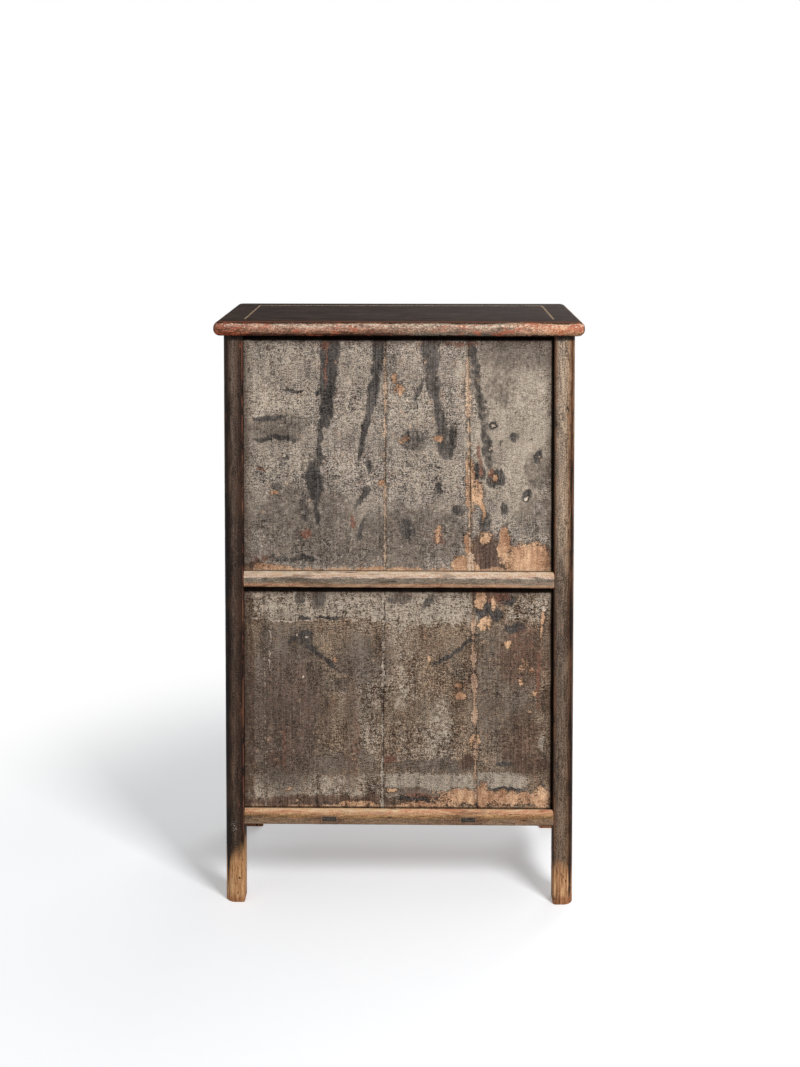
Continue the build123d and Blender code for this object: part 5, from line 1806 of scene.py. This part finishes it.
UPPER_MARKS = (
    (Tone.BLOOM, (
        Mark(0.30, 1.46, 0.11, 0.09, strength=0.36, soft=0.6), Mark(0.29, 1.27, 0.08, 0.12, strength=0.36, soft=0.6),
        Mark(0.115, 1.42, 0.045, 0.12, strength=0.35, soft=0.6),
        Mark(-0.30, 1.33, 0.095, 0.20, strength=0.95, soft=0.6), Mark(-0.02, 1.42, 0.05, 0.10, strength=0.28, soft=0.6), Mark(-0.115, 1.20, 0.03, 0.14, strength=0.4, soft=0.7),
        Mark(0.39, 1.25, 0.02, 0.28, strength=0.4, soft=0.6), Mark(0.10, 1.09, 0.05, 0.05, strength=0.35, soft=0.6),
        Mark(-0.345, 1.44, 0.05, 0.05, strength=0.4, soft=0.6), Mark(-0.19, 1.49, 0.035, 0.035, strength=0.6, soft=0.6),
        Mark(-0.05, 1.21, 0.06, 0.06, strength=0.3, soft=0.6),
    )),
    (Tone.SHADE, (
        Mark(0.25, 1.07, 0.13, 0.10, strength=0.48), Mark(-0.03, 1.03, 0.15, 0.07, strength=0.54),
        Mark(-0.31, 1.52, 0.10, 0.045, strength=0.55), Mark(0.20, 0.99, 0.20, 0.035, strength=0.45),
        Mark(-0.365, 1.21, 0.03, 0.05, strength=0.55), Mark(-0.36, 1.09, 0.05, 0.06, strength=0.34),
        Mark(-0.265, 1.43, 0.04, 0.045, strength=0.42), Mark(0.31, 1.09, 0.016, 0.060, strength=0.4, soft=0.8),
        Mark(0.258, 1.09, 0.015, 0.055, strength=0.55, soft=0.8), Mark(0.173, 1.08, 0.015, 0.060, strength=0.45, soft=0.8),
        Mark(0.315, 1.322, 0.062, 0.038, strength=0.55),
    )),
    (Tone.SOOT, (
        *streak(((0.176, 1.580, 0.024), (0.183, 1.470, 0.020), (0.188, 1.400, 0.019), (0.190, 1.345, 0.013))),
        *streak(((0.202, 1.360, 0.007), (0.209, 1.280, 0.006), (0.207, 1.225, 0.006)), 0.8),
        Mark(0.224, 1.180, 0.020, 0.046), Mark(0.216, 1.105, 0.006, 0.045, strength=0.7),
        *streak(((0.046, 1.580, 0.016), (0.058, 1.460, 0.013), (0.074, 1.380, 0.010), (0.103, 1.258, 0.006)), 0.82),
        Mark(0.078, 1.225, 0.006, 0.020, strength=0.6),
        *streak(((-0.078, 1.580, 0.022), (-0.084, 1.470, 0.020), (-0.098, 1.400, 0.010), (-0.120, 1.290, 0.014)), 0.60),
        Mark(-0.128, 1.285, 0.022, 0.036, strength=0.64), Mark(-0.040, 1.290, 0.028, 0.024, strength=0.48),
        *streak(((-0.190, 1.540, 0.010), (-0.205, 1.440, 0.012), (-0.222, 1.330, 0.012), (-0.238, 1.230, 0.012)), 0.62),
        Mark(-0.258, 1.187, 0.020, 0.022, strength=0.9), Mark(-0.205, 1.205, 0.022, 0.020, strength=0.8),
        Mark(-0.246, 1.328, 0.009, 0.010, strength=0.9), Mark(-0.302, 1.300, 0.013, 0.011, strength=0.7),
        Mark(-0.365, 1.250, 0.010, 0.015, strength=0.9), Mark(-0.337, 1.146, 0.009, 0.015, strength=0.9),
        Mark(-0.107, 1.160, 0.009, 0.017, strength=0.7), Mark(-0.155, 1.100, 0.016, 0.015, strength=0.6),
        Mark(-0.022, 1.052, 0.018, 0.028, strength=0.6), Mark(0.248, 1.110, 0.012, 0.035, strength=0.5),
        Mark(-0.225, 1.075, 0.014, 0.030, strength=0.6), Mark(-0.280, 1.106, 0.009, 0.012, strength=0.6),
        Mark(0.300, 1.2425, 0.009, 0.009, strength=0.6), Mark(0.322, 1.162, 0.014, 0.012, strength=0.6),
        Mark(0.335, 1.352, 0.040, 0.006, strength=0.7),
        Mark(0.325, 1.292, 0.055, 0.007, strength=0.75), Mark(0.275, 1.418, 0.026, 0.004, strength=0.9),
        Mark(0.208, 1.415, 0.012, 0.008, strength=0.8), Mark(0.095, 1.142, 0.030, 0.006, 60.0, 0.7),
        Mark(0.100, 1.055, 0.028, 0.007, 70.0, 0.6), Mark(-0.055, 1.425, 0.030, 0.006, 70.0, 0.6),
        Mark(0.30, 0.968, 0.08, 0.010, strength=0.55),
    )),
    (Tone.RUST, (
        Mark(0.192, 1.540, 0.009, 0.014, strength=0.6), Mark(0.190, 1.480, 0.003, 0.050, strength=0.6),
        Mark(-0.160, 1.545, 0.045, 0.006, strength=0.5), Mark(-0.213, 1.240, 0.005, 0.050, 4.0, 0.5),
        Mark(0.122, 1.074, 0.006, 0.017, strength=0.7), Mark(0.246, 1.040, 0.011, 0.010, strength=0.85),
        Mark(-0.243, 1.205, 0.008, 0.010, strength=0.8), Mark(-0.105, 1.030, 0.012, 0.016, strength=0.6),
        Mark(0.362, 0.958, 0.030, 0.020, strength=0.35), Mark(0.363, 1.208, 0.012, 0.006, strength=0.6),
    )),
    (Tone.UMBER, (
        Mark(-0.228, 0.975, 0.036, 0.055, strength=1.0), Mark(-0.290, 0.955, 0.012, 0.045, strength=0.8),
        Mark(-0.265, 0.945, 0.045, 0.012, strength=1.0), Mark(0.385, 0.950, 0.030, 0.012, strength=0.7),
    )),
    (Tone.OCHRE, (
        Mark(-0.345, 0.965, 0.055, 0.042, 4.0, 1.0), Mark(-0.278, 1.010, 0.014, 0.040, strength=0.9),
        Mark(-0.175, 0.952, 0.028, 0.022, strength=1.0), Mark(-0.186, 0.995, 0.009, 0.045, 2.0, 0.9),
        Mark(-0.228, 1.030, 0.012, 0.018, strength=0.5), Mark(-0.188, 1.175, 0.012, 0.070, 2.0, 0.65),
        Mark(-0.210, 1.150, 0.016, 0.030, strength=0.55), Mark(-0.255, 1.187, 0.006, 0.010, strength=0.8),
        Mark(-0.105, 1.293, 0.014, 0.006, strength=0.7), Mark(0.329, 1.147, 0.009, 0.006, strength=0.9),
        Mark(-0.222, 1.120, 0.005, 0.040, 4.0, 0.7), Mark(-0.013, 1.290, 0.014, 0.006, strength=0.5),
        Mark(0.042, 1.172, 0.010, 0.008, strength=0.7), Mark(-0.105, 1.040, 0.006, 0.020, strength=0.6),
        Mark(0.340, 0.945, 0.050, 0.007, strength=0.6), Mark(0.030, 0.942, 0.060, 0.006, strength=0.8),
        Mark(0.010, 1.452, 0.010, 0.012, strength=0.6), Mark(-0.003, 1.425, 0.014, 0.010, strength=0.55),
    )),
    (Tone.LIME, (
        Mark(-0.246, 1.326, 0.003, 0.0035, strength=1.0), Mark(-0.337, 1.141, 0.004, 0.005, strength=1.0),
        Mark(-0.238, 1.265, 0.003, 0.004, strength=1.0), Mark(0.302, 1.247, 0.003, 0.005, strength=1.0),
        Mark(0.246, 1.414, 0.008, 0.003, strength=0.8), Mark(-0.025, 1.402, 0.003, 0.003, strength=0.9),
    )),
)

LOWER_MARKS = (
    (Tone.BLOOM, (
        Mark(0.19, 0.845, 0.21, 0.042, strength=0.52, soft=0.25, boxed=True),
        Mark(-0.10, 0.846, 0.10, 0.050, strength=0.56, soft=0.4, boxed=True),
        Mark(-0.35, 0.845, 0.06, 0.040, strength=0.34, soft=0.4, boxed=True),
        Mark(0.00, 0.680, 0.05, 0.16, strength=0.24, soft=0.7), Mark(-0.04, 0.420, 0.06, 0.10, strength=0.22, soft=0.7),
        Mark(0.23, 0.334, 0.17, 0.032, strength=0.38, soft=0.3, boxed=True),
        Mark(-0.09, 0.336, 0.12, 0.034, strength=0.64, soft=0.25, boxed=True),
        Mark(-0.27, 0.348, 0.07, 0.024, strength=0.74, soft=0.3, boxed=True),
        Mark(-0.3845, 0.461, 0.006, 0.026, 4.0, 0.8), Mark(0.10, 0.58, 0.05, 0.20, strength=0.32, soft=0.6),
        Mark(-0.30, 0.55, 0.03, 0.10, strength=0.25, soft=0.6), Mark(-0.115, 0.47, 0.035, 0.10, strength=0.40, soft=0.7),
    )),
    (Tone.SHADE, (
        Mark(0.31, 0.56, 0.10, 0.20, strength=0.62, soft=0.6), Mark(0.11, 0.69, 0.05, 0.06, strength=0.5, soft=0.7),
        Mark(0.12, 0.41, 0.04, 0.03, strength=0.42, soft=0.7), Mark(0.04, 0.69, 0.03, 0.05, strength=0.3, soft=0.7),
        Mark(-0.28, 0.60, 0.08, 0.16, strength=0.4, soft=0.6), Mark(-0.10, 0.395, 0.11, 0.018, strength=0.6),
        Mark(0.22, 0.40, 0.12, 0.03, strength=0.5, soft=0.5),
    )),
    (Tone.UMBER, (
        Mark(0.29, 0.54, 0.09, 0.15, strength=0.30, soft=0.7), Mark(0.13, 0.50, 0.02, 0.16, strength=0.3, soft=0.7),
        Mark(-0.257, 0.876, 0.030, 0.020, strength=0.9), Mark(-0.33, 0.46, 0.05, 0.08, strength=0.4, soft=0.6),
        Mark(0.22, 0.290, 0.18, 0.016, strength=0.60, soft=0.7), Mark(0.396, 0.55, 0.006, 0.27, strength=0.4, soft=0.6),
        Mark(0.07, 0.292, 0.02, 0.020, strength=0.6), Mark(-0.02, 0.320, 0.06, 0.010, strength=0.5),
        Mark(-0.33, 0.70, 0.06, 0.07, strength=0.45, soft=0.6), Mark(0.335, 0.41, 0.03, 0.02, strength=0.5),
        Mark(-0.35, 0.40, 0.05, 0.03, strength=0.55), Mark(-0.185, 0.404, 0.02, 0.018, strength=0.7),
    )),
    (Tone.SOOT, (
        Mark(0.262, 0.748, 0.028, 0.018, strength=0.66, soft=0.6), Mark(0.250, 0.762, 0.016, 0.011, strength=0.85),
        *streak(((0.240, 0.726, 0.008), (0.210, 0.700, 0.006), (0.172, 0.670, 0.005)), 0.9),
        *streak(((-0.106, 0.684, 0.004), (-0.150, 0.716, 0.006), (-0.204, 0.756, 0.005)), 0.9),
        Mark(-0.214, 0.838, 0.009, 0.022, strength=1.0), Mark(-0.236, 0.842, 0.028, 0.008, 62.0, 1.0),
        Mark(-0.258, 0.820, 0.016, 0.015, strength=1.0), Mark(-0.236, 0.812, 0.008, 0.014, strength=0.9),
        Mark(-0.312, 0.784, 0.026, 0.010, strength=0.9), Mark(-0.292, 0.858, 0.020, 0.012, strength=0.9),
        Mark(0.253, 0.806, 0.014, 0.005, strength=0.9), Mark(0.190, 0.806, 0.028, 0.005, strength=0.9),
        Mark(0.215, 0.862, 0.016, 0.026, strength=0.5, soft=0.6), Mark(0.262, 0.866, 0.012, 0.022, strength=0.55, soft=0.6),
        Mark(-0.285, 0.403, 0.022, 0.006, strength=0.7), Mark(0.0, 0.862, 0.03, 0.012, strength=0.45),
        Mark(-0.06, 0.296, 0.06, 0.007, strength=0.8), Mark(0.16, 0.284, 0.06, 0.004, strength=0.6),
        Mark(-0.29, 0.327, 0.045, 0.004, strength=0.9), Mark(-0.386, 0.800, 0.008, 0.040, strength=0.5),
        Mark(-0.390, 0.330, 0.006, 0.030, strength=0.6), Mark(-0.078, 0.857, 0.022, 0.008, 60.0, 0.6),
        Mark(0.115, 0.66, 0.10, 0.006, strength=0.2), Mark(0.160, 0.62, 0.02, 0.015, strength=0.4),
    )),
    (Tone.RUST, (
        Mark(-0.265, 0.866, 0.030, 0.010, strength=0.7), Mark(-0.340, 0.735, 0.045, 0.055, strength=0.24, soft=0.6),
        Mark(0.03, 0.41, 0.02, 0.01, strength=0.6), Mark(-0.06, 0.306, 0.05, 0.006, strength=0.6),
        Mark(-0.375, 0.640, 0.005, 0.080, strength=0.6), Mark(0.312, 0.44, 0.003, 0.06, strength=0.7),
        Mark(0.115, 0.45, 0.010, 0.08, strength=0.25, soft=0.6),
    )),
    (Tone.OCHRE, (
        Mark(-0.26, 0.300, 0.135, 0.016, strength=0.75, boxed=True), Mark(-0.216, 0.868, 0.014, 0.028, strength=0.8), Mark(-0.228, 0.798, 0.018, 0.018, strength=0.55),
        Mark(-0.252, 0.852, 0.005, 0.020, strength=0.6), Mark(-0.161, 0.614, 0.008, 0.007, strength=0.7),
        Mark(-0.166, 0.590, 0.015, 0.010, strength=0.8), Mark(-0.290, 0.741, 0.007, 0.012, strength=0.6),
        Mark(-0.327, 0.633, 0.008, 0.010, strength=0.62), Mark(-0.3546, 0.657, 0.010, 0.007, strength=0.6),
        Mark(-0.388, 0.305, 0.016, 0.028, strength=0.95), Mark(-0.290, 0.301, 0.042, 0.018, strength=0.95),
        Mark(-0.228, 0.308, 0.018, 0.030, strength=0.9), Mark(-0.172, 0.305, 0.038, 0.020, strength=0.95),
        Mark(-0.335, 0.675, 0.016, 0.018, strength=0.3), Mark(-0.366, 0.600, 0.006, 0.006, strength=0.7),
        Mark(-0.085, 0.700, 0.004, 0.006, strength=0.8), Mark(0.12, 0.283, 0.05, 0.007, strength=0.7),
        Mark(-0.06, 0.279, 0.06, 0.006, strength=0.7), Mark(0.17, 0.690, 0.006, 0.006, strength=0.5),
        Mark(-0.385, 0.800, 0.004, 0.050, strength=0.6), Mark(0.02, 0.325, 0.015, 0.006, strength=0.7),
        Mark(0.30, 0.325, 0.010, 0.004, strength=0.6), Mark(-0.205, 0.470, 0.014, 0.016, strength=0.6),
    )),
    (Tone.LIME, (
        Mark(0.370, 0.868, 0.017, 0.006, strength=0.8), Mark(0.360, 0.832, 0.013, 0.011, strength=0.85),
        Mark(-0.384, 0.840, 0.008, 0.009, strength=0.6), Mark(0.28, 0.801, 0.13, 0.0012, strength=0.6),
        Mark(0.271, 0.757, 0.003, 0.004, strength=0.8), Mark(0.242, 0.752, 0.004, 0.003, strength=0.8),
        Mark(0.259, 0.651, 0.003, 0.003, strength=0.9), Mark(0.345, 0.72, 0.002, 0.05, strength=0.55),
    )),
)

FINISHES = {
    "boards_upper": BoardFinish(
        "upper_board_lacquer", 0.936, 1.567,
        ((40, 37, 34), (116, 106, 98), (145, 134, 123), (168, 155, 142), (212, 197, 181)),
        (Seam(0.03733, 0.03537, 0.0045), Seam(-0.19071, -0.17848, 0.009)), UPPER_MARKS, 0.018,
    ),
    "boards_lower": BoardFinish(
        "lower_board_lacquer", 0.269, 0.893,
        ((30, 22, 17), (79, 64, 52), (104, 87, 73), (130, 111, 94), (182, 156, 128)),
        (
            Seam(0.04508, 0.04079, 0.006, ((132, 116, 102), (212, 196, 176))),
            Seam(-0.21186, -0.19570, 0.009, ((126, 98, 80), (206, 172, 144))),
            Seam(0.3630, 0.3595, 0.0008, ((104, 90, 78), (170, 152, 134)), 0.0002),
        ),
        LOWER_MARKS, 0.016, 0.0050,
    ),
    "rail_middle": RailFinish(
        "middle_rail_lacquer", 0.893, 0.936,
        (
            (0.0, (112, 80, 58)), (0.10, (198, 156, 122)), (0.26, (188, 150, 118)), (0.34, (146, 130, 114)),
            (0.60, (146, 133, 117)), (0.69, (214, 195, 178)), (0.86, (217, 199, 183)), (1.0, (220, 206, 192)),
        ),
        red=(176, 142, 120), cover=0.22,
    ),
    "rail_bottom": RailFinish(
        "bottom_rail_lacquer", 0.225, 0.269,
        (
            (0.0, (104, 80, 62)), (0.12, (156, 126, 100)), (0.46, (152, 124, 98)), (0.56, (172, 128, 84)),
            (0.74, (202, 164, 120)), (0.90, (214, 180, 140)), (1.0, (228, 202, 168)),
        ),
        (66, 52, 43), (122, 108, 86), (154, 98, 62), 0.16, tenons=TENON_PLACES,
    ),
    "side_rail": RailFinish(
        "side_rail_lacquer", 0.893, 0.936,
        ((0.0, (58, 42, 34)), (0.3, (78, 60, 50)), (0.7, (92, 72, 60)), (0.95, (150, 118, 94))),
        (54, 41, 34), (92, 78, 67), cover=0.3, grain=1,
    ),
    "side_rail_low": RailFinish(
        "low_side_rail_lacquer", 0.200, 0.257,
        ((0.0, (62, 46, 37)), (0.3, (80, 62, 52)), (0.7, (92, 72, 60)), (0.95, (146, 112, 88))),
        (54, 41, 34), (92, 78, 67), cover=0.3, grain=1, ends=0.238,
    ),
    "post_dark": PostFinish(
        "dark_post_lacquer",
        (
            (0.0, (7, 5, 5)), (0.16, (16, 12, 11)), (0.30, (64, 52, 46)), (0.5, (110, 97, 88)),
            (0.72, (84, 69, 60)), (0.88, (58, 42, 35)), (1.0, (26, 17, 14)),
        ),
        ((0.0, (236, 222, 206)), (0.2, (214, 198, 186)), (0.5, (212, 198, 190)), (0.8, (232, 222, 216)), (1.0, (255, 250, 246))),
        (114, 70, 53), 0.150,
    ),
    "post_front": PostFinish(
        "front_post_lacquer",
        (
            (0.0, (7, 5, 5)), (0.16, (18, 13, 11)), (0.30, (58, 45, 39)), (0.5, (92, 78, 69)),
            (0.72, (80, 63, 54)), (0.88, (56, 40, 33)), (1.0, (26, 17, 14)),
        ),
        ((0.0, (226, 212, 198)), (0.4, (220, 206, 196)), (1.0, (255, 250, 246))),
        # The bare feet are kept dark, partly as painted shade, so the bit that shows below the back rail sits in with
        # the shade under the cabinet.
        (114, 70, 53), 0.045, ((40, 29, 23), (80, 60, 47), (116, 92, 74)),
    ),
    "post_taupe": PostFinish(
        "taupe_post_lacquer",
        (
            (0.0, (8, 5, 4)), (0.15, (20, 13, 10)), (0.23, (118, 82, 58)), (0.36, (160, 136, 114)),
            (0.58, (180, 162, 144)), (0.84, (164, 146, 130)), (1.0, (96, 76, 62)),
        ),
        ((0.0, (188, 176, 166)), (0.45, (168, 162, 160)), (0.56, (184, 176, 172)), (0.66, (238, 232, 226)), (1.0, (255, 252, 248))),
        (128, 84, 60), 0.105, ((76, 49, 33), (168, 120, 82), (228, 182, 134)),
    ),
    "cap": CapFinish(
        "cap_lacquer",
        (
            (0.0, (34, 22, 17)), (0.16, (96, 66, 52)), (0.32, (158, 116, 94)), (0.60, (188, 144, 124)),
            (0.80, (188, 160, 142)), (0.94, (140, 106, 88)), (1.0, (74, 52, 42)),
        ),
        ((0.34, 0.44, (206, 98, 60), 0.9), (0.06, -0.06, (172, 168, 150), 0.7), (-0.27, -0.38, (232, 162, 112), 0.9)),
    ),
    "side_board": LacquerFinish("side_board_lacquer", ((58, 46, 39), (88, 72, 62), (124, 106, 93)), (170, 134, 104), 2, 0.5),
    "door_stile": LacquerFinish("door_stile_lacquer", ((44, 29, 24), (70, 47, 38), (98, 70, 57)), (164, 120, 88), 2, 0.6),
    "door_rail": LacquerFinish("door_rail_lacquer", ((44, 29, 24), (70, 47, 38), (98, 70, 57)), (164, 120, 88), 0, 0.6),
    "door_panel": LacquerFinish("door_panel_lacquer", ((40, 25, 21), (66, 42, 34), (92, 62, 50)), (150, 108, 80), 2, 1.0),
    "front_rail": LacquerFinish("front_rail_lacquer", ((46, 31, 26), (74, 52, 42), (104, 78, 64)), (166, 124, 92), 0, 0.5),
    "front_apron": LacquerFinish("front_apron_lacquer", ((44, 30, 25), (70, 49, 40), (100, 74, 60)), (160, 118, 88), 0, 0.5),
    "side_apron": LacquerFinish("side_apron_lacquer", ((50, 37, 31), (76, 58, 48), (106, 84, 70)), (160, 120, 90), 1, 0.5),
    "wood_long": WoodFinish("inner_wood_long", 0),
    "wood_deep": WoodFinish("inner_wood_deep", 1),
    "brass": BrassFinish(),
}


def main() -> None:
    """Build the cabinet and its studio."""
    logging.basicConfig(level=logging.INFO, format="%(name)s %(message)s")
    Studio().build()
    shop = Shop()
    for assembly in (Posts(), Cap(), Back(), Sides(), Doors(), Front(), Inside(), Fittings()):
        LOG.info("building %s", type(assembly).__name__.lower())
        assembly.build(shop)
    LOG.info("%d pieces made", shop.count)


if __name__ == "__main__":
    main()
